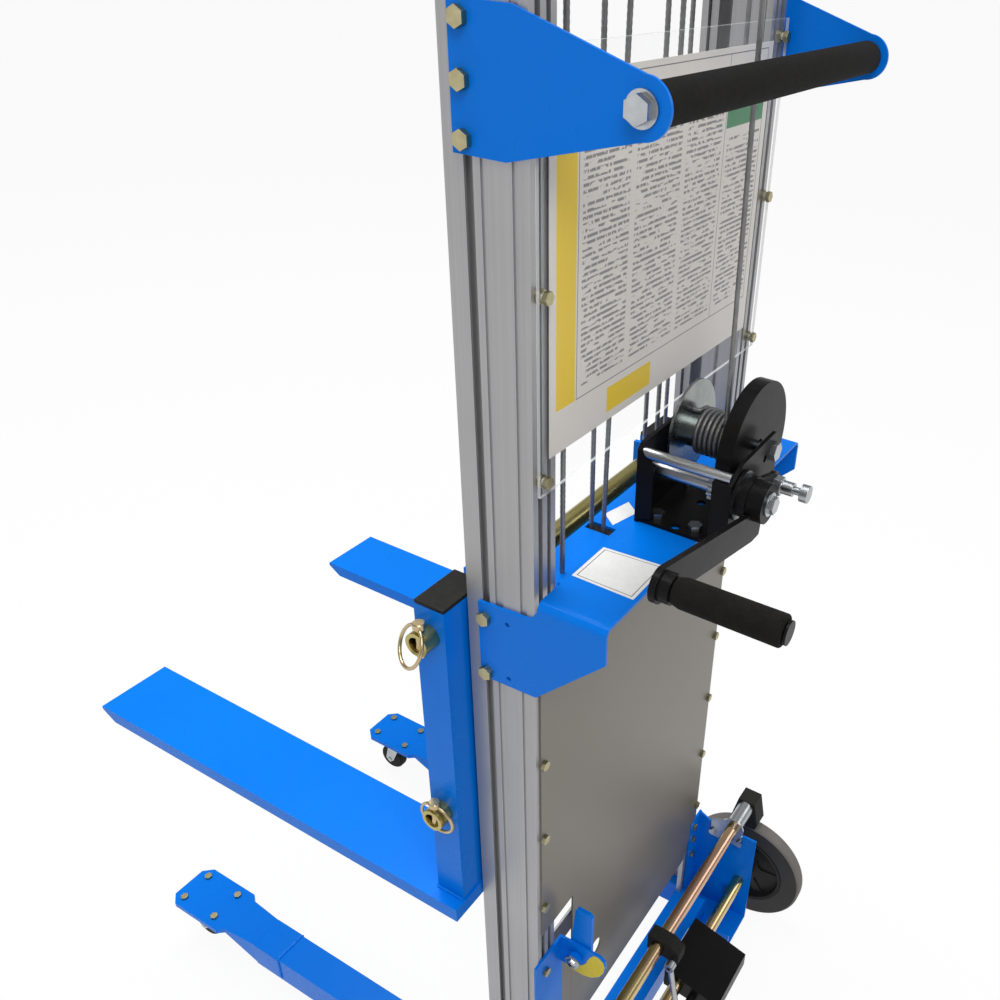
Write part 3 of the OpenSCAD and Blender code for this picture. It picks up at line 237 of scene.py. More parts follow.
def tyre_rubber(name):
    """Grey tread, black walls."""
    look = Look(name, Specular_IOR_Level=0.35)
    radius = look.node("VectorMath", {"operation": "LENGTH"}, {0: look.node(
        "Mapping", {}, {"Vector": look.node("TexCoord", {}, {}, "Object"),
                        "Location": (0, 0.2885, -0.099), "Scale": (0, 1, 1)})}, 1)
    tread = radius.over(0.0955, 0.0006)
    worn = look.noise(45, 5, rough=0.6)
    wall = look.mix(worn, (0.018, 0.018, 0.019), (0.05, 0.048, 0.046))
    look.colour(look.mix(tread, wall, look.mix(worn, (0.125, 0.115, 0.105), (0.20, 0.185, 0.17))))
    look.rough(0.55 + 0.25 * worn)
    look.bump(look.noise(700, 3), 0.3, 0.0003)
    return look.material


def yellow_passivated(name):
    look = Look(name, Metallic=1.0)
    film = look.noise(11, 4, stretch=(0.5, 1, 1), rough=0.6)
    tint = look.node("ValToRGB", {"stops": [(0.25, (0.46, 0.36, 0.13)), (0.42, (0.62, 0.52, 0.22)),
                                            (0.55, (0.60, 0.40, 0.27)), (0.70, (0.55, 0.33, 0.24)),
                                            (0.80, (0.50, 0.47, 0.20))]}, {"Fac": film})
    look.colour(tint)
    look.rough(0.15 + 0.12 * look.noise(140, 4))
    look.bump(look.noise(800, 2, stretch=(0.1, 1, 1)), 0.08, 0.0001)
    return look.material


def clear_sheet(name, body=0.02):
    look = Look(name, Specular_IOR_Level=0.35)
    haze = look.noise(22, 4)
    look.colour(look.mix(haze, (0.86, 0.89, 0.90), (0.93, 0.95, 0.95)))
    look.rough(0.05 + 0.05 * haze)
    look.give(look.shader.inputs["Alpha"], body + 0.02 * haze)
    look.bump(look.noise(14, 2), 0.03, 0.0004)
    return look.material


def printed_film(name):
    """White film with plain colour fields, a thin frame and ruled columns, no lettering."""
    look = Look(name, Specular_IOR_Level=0.35)
    x, z = look.part("X"), look.part("Z")

    def field(x0, x1, z0, z1):
        soft = 0.0003
        wide = (x - x0).over(0, soft) * (1 - (x - x1).over(0, soft))
        return wide * (z - z0).over(0, soft) * (1 - (z - z1).over(0, soft))

    yellow = field(-0.183, -0.156, 1.1, 1.346) + field(-0.105, -0.029, 1.0695, 1.093)
    green = field(0.092, 0.172, 1.282, 1.31)
    line = field(-0.154, 0.172, 1.100, 1.346) - field(-0.1532, 0.1712, 1.1008, 1.3452)
    line = line + field(0.0895, 0.0903, 1.1, 1.346)
    rows = look.node("Math", {"operation": "FRACT"}, {0: z * 205.0}).over(0.50, 0.10)
    ragged = look.noise(75, 1, stretch=(1, 1, 2.7)).over(0.43, 0.03)
    gaps = look.noise(420, 0, stretch=(1, 1, 0.5)).over(0.36, 0.04)
    ink = field(-0.148, -0.079, 1.11, 1.315) + field(-0.070, 0.006, 1.11, 1.315)
    ink = (ink + field(0.015, 0.084, 1.11, 1.315) + field(0.096, 0.168, 1.11, 1.275)) * rows
    ink = ink * ragged * gaps * 0.8 + line
    paper = look.mix(look.noise(30, 3), (0.735, 0.695, 0.645), (0.79, 0.755, 0.71))
    sheet = look.mix(ink, paper, (0.10, 0.10, 0.11))
    sheet = look.mix(yellow, sheet, (0.86, 0.60, 0.005))
    look.colour(look.mix(green, sheet, (0.01, 0.21, 0.07)))
    look.rough(0.35 + 0.1 * look.noise(50, 3))
    look.bump(look.noise(250, 2), 0.05, 0.0002)
    return look.material


def brushed_sheet(name):
    look = Look(name, Metallic=0.3, Specular_IOR_Level=0.4)
    cloud = look.noise(5, 3)
    fine = look.noise(420, 3, stretch=(0.02, 1, 1))
    look.colour(look.mix(cloud * 0.7 + 0.3 * fine, (0.170, 0.155, 0.128), (0.215, 0.199, 0.168)))
    look.rough(0.30 + 0.10 * cloud + 0.05 * fine)
    look.bump(fine + 0.8 * cloud, 0.05, 0.0002)
    return look.material


def rope_steel(name):
    look = Look(name, Metallic=0.75)
    oil = look.noise(90, 5, rough=0.65)
    look.colour(look.mix(oil, (0.34, 0.34, 0.34), (0.13, 0.13, 0.13)))
    look.rough(0.34 + 0.25 * oil)
    look.bump(look.noise(2600, 2), 0.3, 0.0002)
    return look.material


looks = {
    "aluminium": drawn_aluminium("drawn_aluminium", (0.47, 0.468, 0.475), (0.34, 0.338, 0.345)),
    "blue_paint": powder_coat("blue_powder", (0.0, 0.196, 0.80), (0.0, 0.163, 0.71), 0.20),
    "black_paint": powder_coat("black_powder", (0.006, 0.006, 0.007), (0.013, 0.012, 0.011), 0.22,
                               0.0, 0.07),
    "zinc": plated("bright_zinc", (0.52, 0.54, 0.55), (0.34, 0.36, 0.39), 0.18),
    "steel_tube": plated("drawn_tube", (0.62, 0.62, 0.61), (0.50, 0.50, 0.50), 0.22),
    "yellow_zinc": yellow_passivated("yellow_zinc"),
    "foam": foam("foam_sleeve"),
    "bolt_yellow": plated("bolt_yellow", (0.50, 0.46, 0.28), (0.36, 0.31, 0.17), 0.22, 160),
    "shaft_yellow": plated("shaft_yellow", (0.56, 0.48, 0.17), (0.40, 0.36, 0.15), 0.16, 30),
    "drum_zinc": plated("drum_zinc", (0.36, 0.39, 0.37), (0.20, 0.22, 0.22), 0.14, 40),
    "pin_bronze": plated("pin_bronze", (0.62, 0.45, 0.28), (0.46, 0.40, 0.20), 0.16, 60),
    "clear_sheet": clear_sheet("clear_plastic"),
    # The panel's cut edges: a paler, far more opaque sheet that paints the bright line of light
    # along them
    "clear_edge_highlight": clear_sheet("clear_edge_highlight", 0.5),
    "white_film": printed_film("printed_film"),
    "grey_sheet": brushed_sheet("grey_cover"),
    "black_plastic": moulded("moulded_black", (0.007, 0.007, 0.007), (0.020, 0.019, 0.018), 0.36,
                             spec=0.12),
    "black_rubber": moulded("black_rubber", (0.012, 0.012, 0.012), (0.030, 0.029, 0.027), 0.60,
                            500, 0.4, 0.13),
    "wire_rope": rope_steel("rope_wire"),
    "sheave_steel": plated("turned_steel", (0.42, 0.43, 0.44), (0.24, 0.24, 0.25), 0.30),
    "nylon": moulded("cast_nylon", (0.78, 0.77, 0.72), (0.66, 0.64, 0.58), 0.45),
    "tyre": tyre_rubber("tyre_rubber"),
    "label": moulded("paper_label", (0.80, 0.80, 0.79), (0.70, 0.70, 0.69), 0.5, 700, 0.1),
    "label_ink": moulded("label_ink", (0.05, 0.05, 0.06), (0.08, 0.08, 0.09), 0.5, 700, 0.1),
    "yellow_decal": moulded("yellow_decal", (0.78, 0.62, 0.02), (0.66, 0.52, 0.03), 0.4, 600, 0.1),
    "grey_cap": moulded("grey_cap", (0.30, 0.30, 0.30), (0.40, 0.40, 0.40), 0.4),
}
slot_of = {s["node"]: s["material_slot"] for s in frame["record"]["subparts"]}
body_of = {n: b for b, ns in frame["record"]["behaviour"]["bodies"].items() for n in ns}
finish_of = {n: looks[s] for n, s in slot_of.items()}
for side in ("left", "right"):
    finish_of["rear_tyre_" + side] = looks["tyre"]
finish_of["inner_cross_members"] = looks["aluminium"]
finish_of["yellow_bolts"] = looks["bolt_yellow"]
finish_of["fork_shafts"] = looks["shaft_yellow"]
finish_of["fork_pins"] = looks["pin_bronze"]
finish_of["winch_drum"] = looks["drum_zinc"]


def dress(piece, material):
    piece.data.materials.clear()
    piece.data.materials.append(material)


for name, node in frame["nodes"].items():
    dress(node, finish_of[name])

# Modelling helpers


def only(piece):
    bpy.ops.object.select_all(action="DESELECT")
    piece.select_set(True)
    bpy.context.view_layer.objects.active = piece


def editing(piece):
    only(piece)
    bpy.ops.object.mode_set(mode="EDIT")
    bpy.ops.mesh.select_all(action="SELECT")


def leave_editing():
    bpy.ops.object.mode_set(mode="OBJECT")


def settle(piece):
    """Puts a piece's place, turn and size into its mesh."""
    only(piece)
    bpy.ops.object.transform_apply(location=True, rotation=True, scale=True)


def soften(piece, width, segments=2, angle=38):
    """Rounds every sharp edge a little and smooths what is round."""
    only(piece)
    edge = piece.modifiers.new("edge", "BEVEL")
    edge.width, edge.segments = width / 1000, segments
    edge.limit_method, edge.angle_limit = "ANGLE", math.radians(angle)
    bpy.ops.object.modifier_apply(modifier="edge")
    bpy.ops.object.shade_smooth_by_angle(angle=SMOOTH)
    flat = piece.modifiers.new("flat", "WEIGHTED_NORMAL")
    flat.keep_sharp = True
    bpy.ops.object.modifier_apply(modifier="flat")


def carry(piece, body, slot, material=None):
    dress(piece, material or looks[slot])
    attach(piece, body)
    return piece


def finished(node, width, segments=2, angle=38):
    """A copy of a CAD node with its sharp edges rounded, which stands for the node."""
    source = frame["nodes"][node]
    copy = source.copy()
    copy.data = source.data.copy()
    copy.name = node + "_finished"
    scene.collection.objects.link(copy)
    copy.parent = None
    copy.matrix_world = source.matrix_world.copy()
    editing(copy)
    bpy.ops.mesh.remove_doubles(threshold=0.000004)
    bpy.ops.mesh.dissolve_limited(angle_limit=math.radians(1.2))
    leave_editing()
    soften(copy, width, segments, angle)
    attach(copy, body_of[node])
    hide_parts(node)
    dress(copy, finish_of[node])
    return copy


def block(name, low, high, width, body, slot, material=None, segments=2):
    """A box between two corners in millimetres, with rounded edges."""
    low, high = at(*low), at(*high)
    bpy.ops.object.select_all(action="DESELECT")
    bpy.ops.mesh.primitive_cube_add(size=1, location=(low + high) / 2, scale=high - low)
    piece = bpy.context.object
    piece.name = name
    settle(piece)
    soften(piece, width, segments)
    return carry(piece, body, slot, material)


def turned(name, outline, place, axis, body, slot, steps=48, material=None, width=0):
    """Spins an outline of (radius, length) points, in millimetres, about an axis through place."""
    bpy.ops.object.select_all(action="DESELECT")
    bpy.ops.mesh.primitive_plane_add(size=0.001)
    piece = bpy.context.object
    piece.name = name
    editing(piece)
    bpy.ops.mesh.delete(type="VERT")
    sheet = bmesh.from_edit_mesh(piece.data)
    points = [sheet.verts.new((r / 1000, 0, h / 1000)) for r, h in outline]
    for a, b in zip(points, points[1:]):
        sheet.edges.new((a, b))
    bmesh.update_edit_mesh(piece.data)
    bpy.ops.mesh.select_all(action="SELECT")
    bpy.ops.mesh.spin(steps=steps, angle=2 * math.pi, center=(0, 0, 0), axis=(0, 0, 1))
    bpy.ops.mesh.select_all(action="SELECT")
    bpy.ops.mesh.remove_doubles(threshold=0.00001)
    bpy.ops.mesh.select_all(action="SELECT")
    bpy.ops.mesh.normals_make_consistent(inside=False)
    leave_editing()
    piece.matrix_world = Matrix.Translation(at(*place)) @ Vector((0, 0, 1)).rotation_difference(
        Vector(axis)).to_matrix().to_4x4()
    settle(piece)
    if width:
        soften(piece, width)
    else:
        bpy.ops.object.shade_smooth_by_angle(angle=SMOOTH)
    return carry(piece, body, slot, material)


# Wire ropes of six strands, laid along the route of the CAD cords

ROPE = 2.5
LAY = 34.0


def dense(points, step):
    """Points along a route, evenly spaced, in millimetres."""
    points = np.array(points, float)
    run = np.concatenate([[0], np.cumsum(np.linalg.norm(np.diff(points, axis=0), axis=1))])
    count = max(2, int(run[-1] / step))
    marks = np.linspace(0, run[-1], count + 1)
    return np.stack([np.interp(marks, run, points[:, i]) for i in range(3)], 1), marks


def laid_rope(name, points, body, replaced=(), step=2.4, sides=18):
    route, run = dense(points, step)
    tangent = np.gradient(route, axis=0)
    tangent /= np.linalg.norm(tangent, axis=1)[:, None]
    across = np.cross(tangent[0], [0.31, 0.17, 0.93] if abs(tangent[0][2]) < 0.9 else [1, 0, 0])
    rings = []
    angle = np.arange(sides) * 2 * math.pi / sides
    for place, along, length in zip(route, tangent, run):
        across = across - along * np.dot(across, along)
        across /= np.linalg.norm(across)
        second = np.cross(along, across)
        turn = angle + 2 * math.pi * length / LAY
        radius = ROPE * (0.86 + 0.13 * np.abs(np.cos(3 * angle)))
        rings.append(place + radius[:, None] * (np.cos(turn)[:, None] * across
                                                + np.sin(turn)[:, None] * second))
    spots = np.concatenate(rings)
    count = len(route)
    faces = []
    for i in range(count - 1):
        for j in range(sides):
            k = (j + 1) % sides
            faces.append((i * sides + j, i * sides + k, (i + 1) * sides + k, (i + 1) * sides + j))
    faces.append(tuple(range(sides))[::-1])
    faces.append(tuple((count - 1) * sides + j for j in range(sides)))
    mesh = bpy.data.meshes.new(name)
    mesh.from_pydata([tuple(at(*p)) for p in spots], [], faces)
    mesh.update()
    piece = bpy.data.objects.new(name, mesh)
    scene.collection.objects.link(piece)
    only(piece)
    bpy.ops.object.shade_smooth_by_angle(angle=math.radians(60))
    dress(piece, looks["wire_rope"])
    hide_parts(*replaced)
    if isinstance(body, tuple):
        at(*points[0])
        at(*points[-1])
        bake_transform(piece)
    else:
        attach(piece, body)
    return piece


def half_turn(centre, direction, radius, count=25, upper=True):
    """A half turn of rope over (or under) a sheave that stands upright."""
    spots = []
    for i in range(count):
        a = math.pi * i / (count - 1)
        rise = radius * math.sin(a) * (1 if upper else -1)
        spots.append((centre[0] - radius * math.cos(a) * direction[0],
                      centre[1] - radius * math.cos(a) * direction[1], centre[2] + rise))
    return spots


DRUM = (-31 + 74 * math.cos(math.radians(12.1)), 985 + 74 * math.sin(math.radians(12.1)))
WIND = 22.8
TURNS = 6.75
WIND_START, WIND_PITCH, WIND_STEPS = -28.5, 5.5, 260


def on_drum(degrees, y):
    a = math.radians(degrees)
    return (DRUM[0] + WIND * math.cos(a), y, DRUM[1] + WIND * math.sin(a))


first = 180 + 360 * TURNS
bend = math.degrees(5 / WIND)
wound = [on_drum(first + bend, y) for y in (-19.3, -23.5)]
for degrees in range(0, 90, 15):
    t = math.radians(degrees)
    wound.append(on_drum(first + bend * math.cos(t), WIND_START + 5 * (1 - math.sin(t))))
for i in range(WIND_STEPS + 1):
    turns = TURNS * i / WIND_STEPS
    wound.append(on_drum(first - 360 * turns, WIND_START - WIND_PITCH * turns))
LEFT, RIGHT, REAR_FALL, FRONT_FALL, FALL_TOP = -65.6, 35.6, 20, 34, 890
lead = np.array([RIGHT - 18.9, REAR_FALL + 54])
lead_reach = np.linalg.norm(lead)
lead_turn = half_turn(((RIGHT + 18.9) / 2, (REAR_FALL - 54) / 2, 1655), lead / lead_reach,
                      lead_reach / 2)
middle = np.array([RIGHT + 45, FRONT_FALL - REAR_FALL])
middle_reach = np.linalg.norm(middle)
middle_turn = half_turn(((RIGHT - 45) / 2, (FRONT_FALL + REAR_FALL) / 2, 1590),
                        middle / middle_reach, middle_reach / 2)
laid_rope("lead_rope", wound + lead_turn + [(RIGHT, REAR_FALL, FALL_TOP)], "base", ["winch_rope"])
laid_rope("middle_rope", [(LEFT, REAR_FALL, FALL_TOP), (LEFT, REAR_FALL, 918)] + middle_turn
          + [(RIGHT, FRONT_FALL, FALL_TOP)], "base", ["winch_rope"])
laid_rope("dead_end_rope", [(LEFT, FRONT_FALL, FALL_TOP), (LEFT, FRONT_FALL, 1596)], "base",
          ["winch_rope"])
FOOT = 305
for label, x, y in [("a", LEFT, REAR_FALL), ("b", LEFT, FRONT_FALL), ("c", RIGHT, REAR_FALL),
                    ("d", RIGHT, FRONT_FALL)]:
    laid_rope("fall_" + label, [(x, y, FALL_TOP), (x, y, FOOT)], ("base", "inner_mast"),
              ["rope_falls"])
centre = ((LEFT + RIGHT) / 2, 0)
for label, y in (("rear", REAR_FALL), ("front", FRONT_FALL)):
    laid_rope("foot_bend_" + label, half_turn((centre[0], y, FOOT), (1, 0), (RIGHT - LEFT) / 2, 41,
                                              False), "inner_mast", ["bend_ropes"])
HIGH, STEP, LUG = 1843, 918, 892
for side in (-1, 1):
    label = "left" if side < 0 else "right"
    x = 150 * side
    laid_rope("mast_rope_" + label, [(x, 12, STEP), (x, 12, HIGH)], ("base", "inner_mast"),
              ["carriage_ropes_rear"])
    laid_rope("top_bend_" + label, half_turn((x, 41, HIGH), (0, 1), 29, 31), "inner_mast",
              ["bend_ropes"])
    laid_rope("carriage_rope_" + label, [(x, 70, HIGH), (x, 70, LUG)], ("inner_mast", "carriage"),
              ["carriage_ropes_front"])

# CAD shapes with their edges rounded as the real sheet, castings and tubes have them

for node, width in [
        ("handle_plates", 0.7), ("winch_bracket", 0.8), ("rear_frame", 0.8), ("front_legs", 2.2),
        ("latch_bracket", 0.8), ("latch_lever", 0.9), ("fork_left", 1.6), ("fork_right", 1.6),
        ("carriage_frame", 1.0), ("crosshead", 0.6), ("winch_frame", 0.9), ("gear_cover", 0.8),
        ("crank_arm", 0.9), ("foot_pedal", 1.0), ("brake_blocks", 1.6), ("post_cap_left", 1.2),
        ("post_cap_right", 1.2), ("brake_bearings", 0.5), ("rope_guides", 1.0),
        ("zinc_hardware", 0.45), ("yellow_bolts", 0.4), ("winch_drum", 0.5),
        ("plunger_housing", 0.5), ("index_plunger", 0.2), ("brake_link", 0.8), ("fork_shafts", 0.8),
        ("pinion_shaft", 0.25), ("rear_hub_left", 0.9), ("rear_hub_right", 0.9),
        ("caster_fork_left", 0.6), ("caster_fork_right", 0.6), ("inner_cross_members", 0.8),
        ("cover_sheet", 0.4), ("clear_panel", 0.4), ("instruction_sheet", 0.05),
        ("brake_bar", 0.8), ("pedal_shaft", 0.8)]:
    finished(node, width)
for node, width in [("handle_foam", 2.2), ("crank_grip", 2.6), ("rear_tyre_left", 1.2),
                    ("rear_tyre_right", 1.2), ("caster_wheel_left", 1.5),
                    ("caster_wheel_right", 1.5)]:
    finished(node, width, 3, 24)

# Lynch pins: the ring hangs round the end of its shaft, and one is swung aside

PIN_X, SHAFT_Y, UPPER_SHAFT, LOWER_SHAFT, PIN_HEAD = 252, 98, 866, 634, 20
PIN_OUTLINE = [(0, -17), (3.2, -17), (4, -16.2), (4, 16), (5.2, 16), (6, 16.8), (6, 22.2),
               (5.2, 23), (0, 23)]
for side, level, height, tilt, swing in [("left", "upper", UPPER_SHAFT, 66, -26),
                                         ("left", "lower", LOWER_SHAFT, 95, 0),
                                         ("right", "upper", UPPER_SHAFT, 94, 0),
                                         ("right", "lower", LOWER_SHAFT, 95, 0)]:
    out = -1 if side == "left" else 1
    pin = turned("lynch_pin_%s_%s" % (side, level), PIN_OUTLINE, (out * PIN_X, SHAFT_Y, height),
                 (0, 0, 1), body_of["fork_pins"], "zinc", 24, looks["pin_bronze"])
    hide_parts("fork_pins")
    bpy.ops.object.select_all(action="DESELECT")
    bpy.ops.mesh.primitive_torus_add(major_radius=0.020, minor_radius=0.0018, major_segments=56,
                                     minor_segments=12)
    ring = bpy.context.object
    ring.name = "lynch_ring_%s_%s" % (side, level)
    ring.matrix_world = (Matrix.Translation(at(out * PIN_X, SHAFT_Y, height + PIN_HEAD))
                         @ Matrix.Rotation(math.radians(swing + (180 if out < 0 else 0)), 4, "Z")
                         @ Matrix.Rotation(math.radians(tilt), 4, "Y")
                         @ Matrix.Translation((0.023, 0, 0)))
    settle(ring)
    bpy.ops.object.shade_smooth()
    carry(ring, body_of["fork_pins"], "zinc", looks["pin_bronze"])
    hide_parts("fork_pins")

# Second finishes: the panel's cut edges, paler and more opaque as a painted highlight, the bare
# back of the sheet, the ratchet on the pinion shaft and the zinc ends of the brake bar


def second_finish(node, material, has_it):
    piece = bpy.data.objects[node + "_finished"]
    piece.data.materials.append(looks[material])
    for face in piece.data.polygons:
        face.material_index = 1 if has_it(face) else 0


PINION_X, PINION_Z, RATCHET_Y, RATCHET_R, BAR_ENDS = -31, 985, -104, 0.0135, 0.228


def on_ratchet(face):
    reach = (face.center - at(PINION_X, 0, PINION_Z)) * Vector((1, 0, 1))
    return reach.length > RATCHET_R and face.center.y < at(0, RATCHET_Y, 0).y


# The side faces of the panel take the painted edge highlight
second_finish("clear_panel", "clear_edge_highlight", lambda face: abs(face.normal.y) <= 0.9)
second_finish("instruction_sheet", "label", lambda face: face.normal.y >= -0.9)
second_finish("pinion_shaft", "black_paint", on_ratchet)
second_finish("brake_bar", "zinc", lambda face: abs(face.center.x) > BAR_ENDS)

# The sheet's printed face stands a hair off the panel, so that no two faces lie on each other
SHEET_MIDDLE, SHEET_GAP = -2.8, 0.0001
notice = bpy.data.objects["instruction_sheet_finished"]
editing(notice)
bpy.ops.mesh.select_all(action="DESELECT")
shape = bmesh.from_edit_mesh(notice.data)
for vertex in shape.verts:
    vertex.select = vertex.co.y < at(0, SHEET_MIDDLE, 0).y
bmesh.update_edit_mesh(notice.data)
bpy.ops.transform.translate(value=(0, SHEET_GAP, 0))
leave_editing()

# Welds, leg sleeves and hub webs


def bead(name, points, radius, body, slot="blue_paint"):
    """A weld bead: a row of small overlapping ripples along a line."""
    line, run = dense(points, 1.1)
    tangent = np.gradient(line, axis=0)
    tangent /= np.linalg.norm(tangent, axis=1)[:, None]
    ring = np.arange(10) * 2 * math.pi / 10
    spots, count = [], len(line)
    for i in range(count):
        across = np.cross(tangent[i], [0.13, 0.31, 0.94])
        across /= np.linalg.norm(across)
        size = radius * (0.84 + 0.16 * math.sin(run[i] * 2.1))
        size *= min(1, (i + 1) / 3, (count - i) / 3)
        second = np.cross(tangent[i], across)
        spots += [line[i] + size * (math.cos(t) * across + math.sin(t) * second) for t in ring]
    faces = [(i * 10 + j, i * 10 + (j + 1) % 10, i * 10 + 10 + (j + 1) % 10, i * 10 + 10 + j)
             for i in range(count - 1) for j in range(10)]
    faces += [tuple(range(10))[::-1], tuple((count - 1) * 10 + j for j in range(10))]
    mesh = bpy.data.meshes.new(name)
    mesh.from_pydata([tuple(at(*spot)) for spot in spots], [], faces)
    piece = bpy.data.objects.new(name, mesh)
    scene.collection.objects.link(piece)
    editing(piece)
    bpy.ops.mesh.normals_make_consistent(inside=False)
    leave_editing()
    bpy.ops.object.shade_smooth_by_angle(angle=math.radians(70))
    return carry(piece, body, slot)


for side, x0, x1 in (("left", -240, -182), ("right", 171, 229)):
    bead(side + "_post_weld", [(x0, 79, 500.6), (x0, 114.6, 500.6), (x1, 114.6, 500.6),
                               (x1, 79, 500.6)], 2.4, side + "_fork")
for side in (-1, 1):
    name = "left" if side < 0 else "right"
    x0, x1 = sorted((188 * side, 235 * side))
    block(name + "_leg_sleeve", (x0 - 1.4, 452, 48.5), (x1 + 1.4, 504, 95.4), 2.4, "base",
          "blue_paint")
    bead(name + "_sleeve_weld", [(x0 - 0.5, 451.6, 50), (x0 - 0.5, 451.6, 94.4),
                                 (x1 + 0.5, 451.6, 94.4), (x1 + 0.5, 451.6, 50)], 1.5, "base")

block("cover_sheet_flank", (-166, -1.9, 181), (-142.8, -0.1, 364), 0.4, "base", "grey_sheet")
WHEEL_X, AXLE_Y, AXLE_Z = 284, -69, 99
for side in (-1, 1):
    turned("hub_web_%s" % ("left" if side < 0 else "right"),
           [(16, 2), (62, 2), (66, 1), (66, -1), (62, -2), (16, -2), (16, 2)],
           (WHEEL_X * side, AXLE_Y, AXLE_Z), (1, 0, 0),
           ("left" if side < 0 else "right") + "_wheel",
           "black_plastic", 64)

# Labels, left without lettering


def film(name, points, faces, inked, lift, body, material):
    """A thin printed film from points and faces; the inked faces take the ink."""
    mesh = bpy.data.meshes.new(name)
    mesh.from_pydata([tuple(at(*p) + Vector(lift) / 1000) for p in points], [], faces)
    piece = bpy.data.objects.new(name, mesh)
    scene.collection.objects.link(piece)
    dress(piece, looks[material])
    piece.data.materials.append(looks["label_ink"])
    for number in inked:
        piece.data.polygons[number].material_index = 1
    only(piece)
    wall = piece.modifiers.new("film", "SOLIDIFY")
    wall.thickness, wall.offset = 0.0003, 0
    bpy.ops.object.modifier_apply(modifier="film")
    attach(piece, body)
    return piece


def framed_label(name, corners, insets):
    """A label with an inked line between its second and third ring of corners."""
    middle = sum((Vector(c) for c in corners), Vector()) / 4
    points = [middle + (Vector(c) - middle) * share for share in insets for c in corners]
    rings = len(insets)
    faces = [(4 * r + i, 4 * r + (i + 1) % 4, 4 * r + 4 + (i + 1) % 4, 4 * r + 4 + i)
             for r in range(rings - 1) for i in range(4)]
    faces.append(tuple(4 * rings - 4 + i for i in range(4)))
    film(name, points, faces, range(4, 8) if rings > 2 else [], (0, 0, 0.1), "base", "label")


framed_label("rating_label", [(-163, -72, 929), (-102, -71, 929), (-107, -6, 929),
                              (-162, -6.5, 929)], (1, 0.90, 0.875))
framed_label("worn_label", [(-54, 16, 918), (-20, 8, 918), (-6, 26, 918), (-40, 34, 918)], (1, 0.6))
outer = [(-10, -24), (-13, -28.2), (-24, -29.2), (-36, -29.2), (-47.5, -24.4), (-57.2, -15.4),
         (-62.8, -4), (-64.4, 7), (-62, 15), (-55, 19.5)]
inner = [(-9.6, -22), (-14, -20), (-20, -17.3), (-26, -15.6), (-31, -13), (-35.5, -8.5),
         (-38.8, -3), (-40.6, 3), (-43.5, 10.5), (-49, 18.5)]
strips = [(i, i + 1, 11 + i, 10 + i) for i in range(9)]
LATCH_Y, LATCH_Z = -25, 389
film("latch_decal", [(-169.05, y, LATCH_Z + z) for y, z in outer + inner], strips, [],
     (-0.06, 0, 0), "base", "yellow_decal")

# The sunk grey end of the crank grip

grip = bpy.data.objects["crank_grip_finished"]
grip.data.materials.append(looks["grey_cap"])
editing(grip)
bpy.ops.mesh.select_all(action="DESELECT")
shape = bmesh.from_edit_mesh(grip.data)
end_y = min(v.co.y for v in shape.verts)
for face in shape.faces:
    face.select = face.normal.y < -0.99 and all(v.co.y < end_y + 0.0001 for v in face.verts)
bmesh.update_edit_mesh(grip.data)
bpy.ops.mesh.inset(thickness=0.0012, depth=0)
bpy.ops.mesh.inset(thickness=0.0005, depth=-0.0008)
grip.active_material_index = 1
bpy.ops.object.material_slot_assign()
leave_editing()
bpy.ops.object.shade_smooth_by_angle(angle=SMOOTH)

# Caster races and the latch's washer and screw

for side in (-1, 1):
    turned("caster_race_%s" % ("left" if side < 0 else "right"),
           [(16, 0), (20.5, 0), (22.5, -2), (22.5, -5), (20.5, -7), (16, -7)],
           (211.5 * side, 623, 83), (0, 0, 1), "base", "zinc")

turned("latch_washer", [(0, 1.6), (9.4, 1.5), (10, 1), (10, 0.2), (10, -0.4), (0, -0.4)],
       (-178, LATCH_Y, LATCH_Z), (-1, 0, 0), "latch", "zinc")
turned("latch_screw", [(0, 4.6), (3, 4.4), (5.6, 3.4), (6.8, 1.8), (7, 1), (0, 1)],
       (-178, LATCH_Y, LATCH_Z), (-1, 0, 0), "latch", "zinc", 8)
# The screw's cross recess is two thin black blocks on its head: painted shade where the hollow
# would be dark
for number, (dy, dz) in enumerate([(3.4, 0.8), (0.8, 3.4)]):
    block("latch_recess_shade_%d" % number, (-182.8, LATCH_Y - dy, LATCH_Z - dz),
          (-182, LATCH_Y + dy, LATCH_Z + dz), 0.2, "latch", "black_paint")

# Floor and backdrop

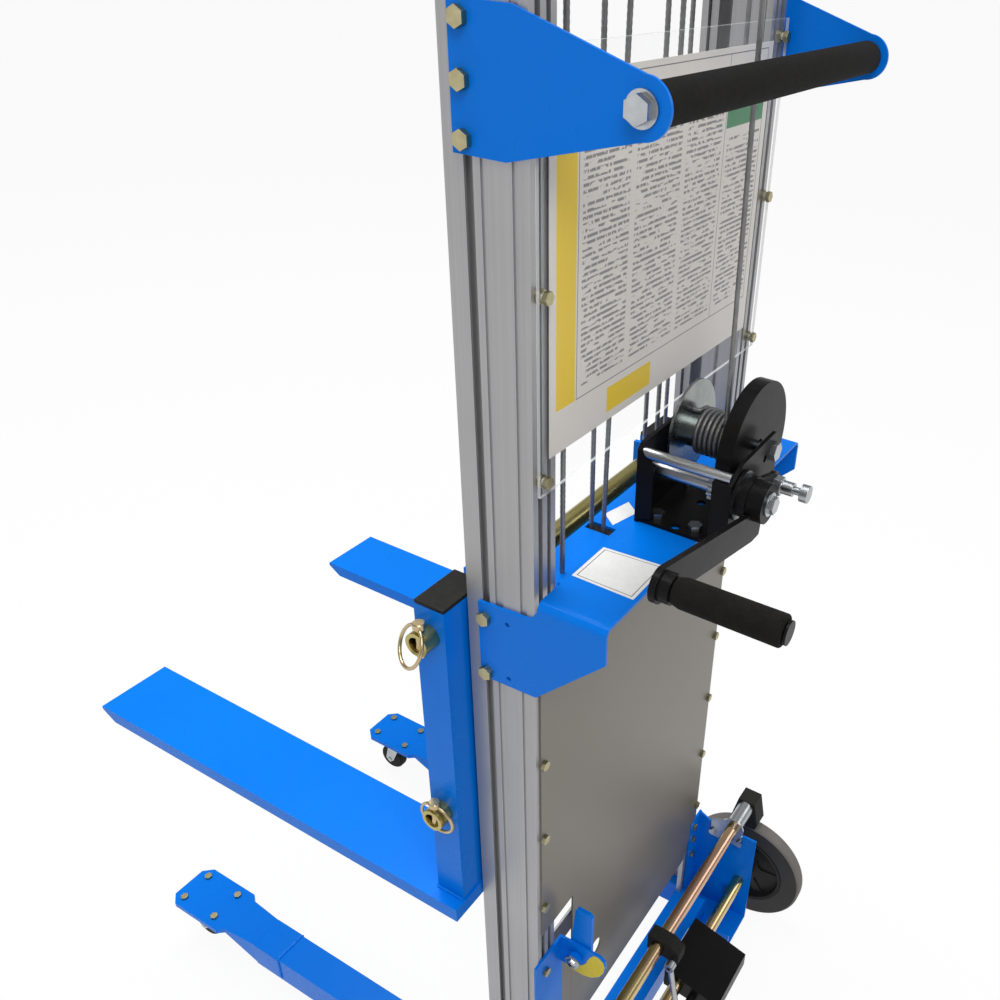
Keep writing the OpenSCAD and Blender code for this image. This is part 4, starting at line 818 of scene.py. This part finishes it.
bpy.ops.object.select_all(action="DESELECT")
bpy.ops.mesh.primitive_plane_add(size=200, location=(0, 0, 0))
floor = bpy.context.object
floor.name = "floor"
pale = bpy.data.materials.new("pale_floor")
pale.use_nodes = True
tree = pale.node_tree
tree.nodes["Principled BSDF"].inputs["Base Color"].default_value = (0.86, 0.86, 0.86, 1)
tree.nodes["Principled BSDF"].inputs["Roughness"].default_value = 0.9
white = tree.nodes.new("ShaderNodeEmission")
white.inputs["Strength"].default_value = 1.0
rays = tree.nodes.new("ShaderNodeLightPath")
blend = tree.nodes.new("ShaderNodeMixShader")
tree.links.new(tree.nodes["Principled BSDF"].outputs[0], blend.inputs[1])
tree.links.new(white.outputs[0], blend.inputs[2])
most = tree.nodes.new("ShaderNodeMath")
most.operation = "MAXIMUM"
tree.links.new(rays.outputs["Is Camera Ray"], most.inputs[0])
tree.links.new(rays.outputs["Is Glossy Ray"], most.inputs[1])
share = tree.nodes.new("ShaderNodeMath")
share.operation = "MULTIPLY"
share.inputs[1].default_value = 0.93
tree.links.new(most.outputs[0], share.inputs[0])
tree.links.new(share.outputs[0], blend.inputs["Fac"])
tree.links.new(blend.outputs[0], tree.nodes["Material Output"].inputs["Surface"])
floor.data.materials.append(pale)

world = bpy.data.worlds.new("studio")
scene.world = world
world.use_nodes = True
sky = world.node_tree
rays = sky.nodes.new("ShaderNodeLightPath")
seen = sky.nodes.new("ShaderNodeMath")
seen.operation = "MAXIMUM"
sky.links.new(rays.outputs["Is Camera Ray"], seen.inputs[0])
sky.links.new(rays.outputs["Is Transmission Ray"], seen.inputs[1])
level = sky.nodes.new("ShaderNodeMapRange")
level.inputs["To Min"].default_value = 0.34
level.inputs["To Max"].default_value = 1.0
sky.links.new(seen.outputs[0], level.inputs["Value"])
sky.nodes["Background"].inputs["Color"].default_value = (1, 1, 1, 1)
sky.links.new(level.outputs[0], sky.nodes["Background"].inputs["Strength"])
scene.view_settings.view_transform = "Standard"

bpy.context.view_layer.update()
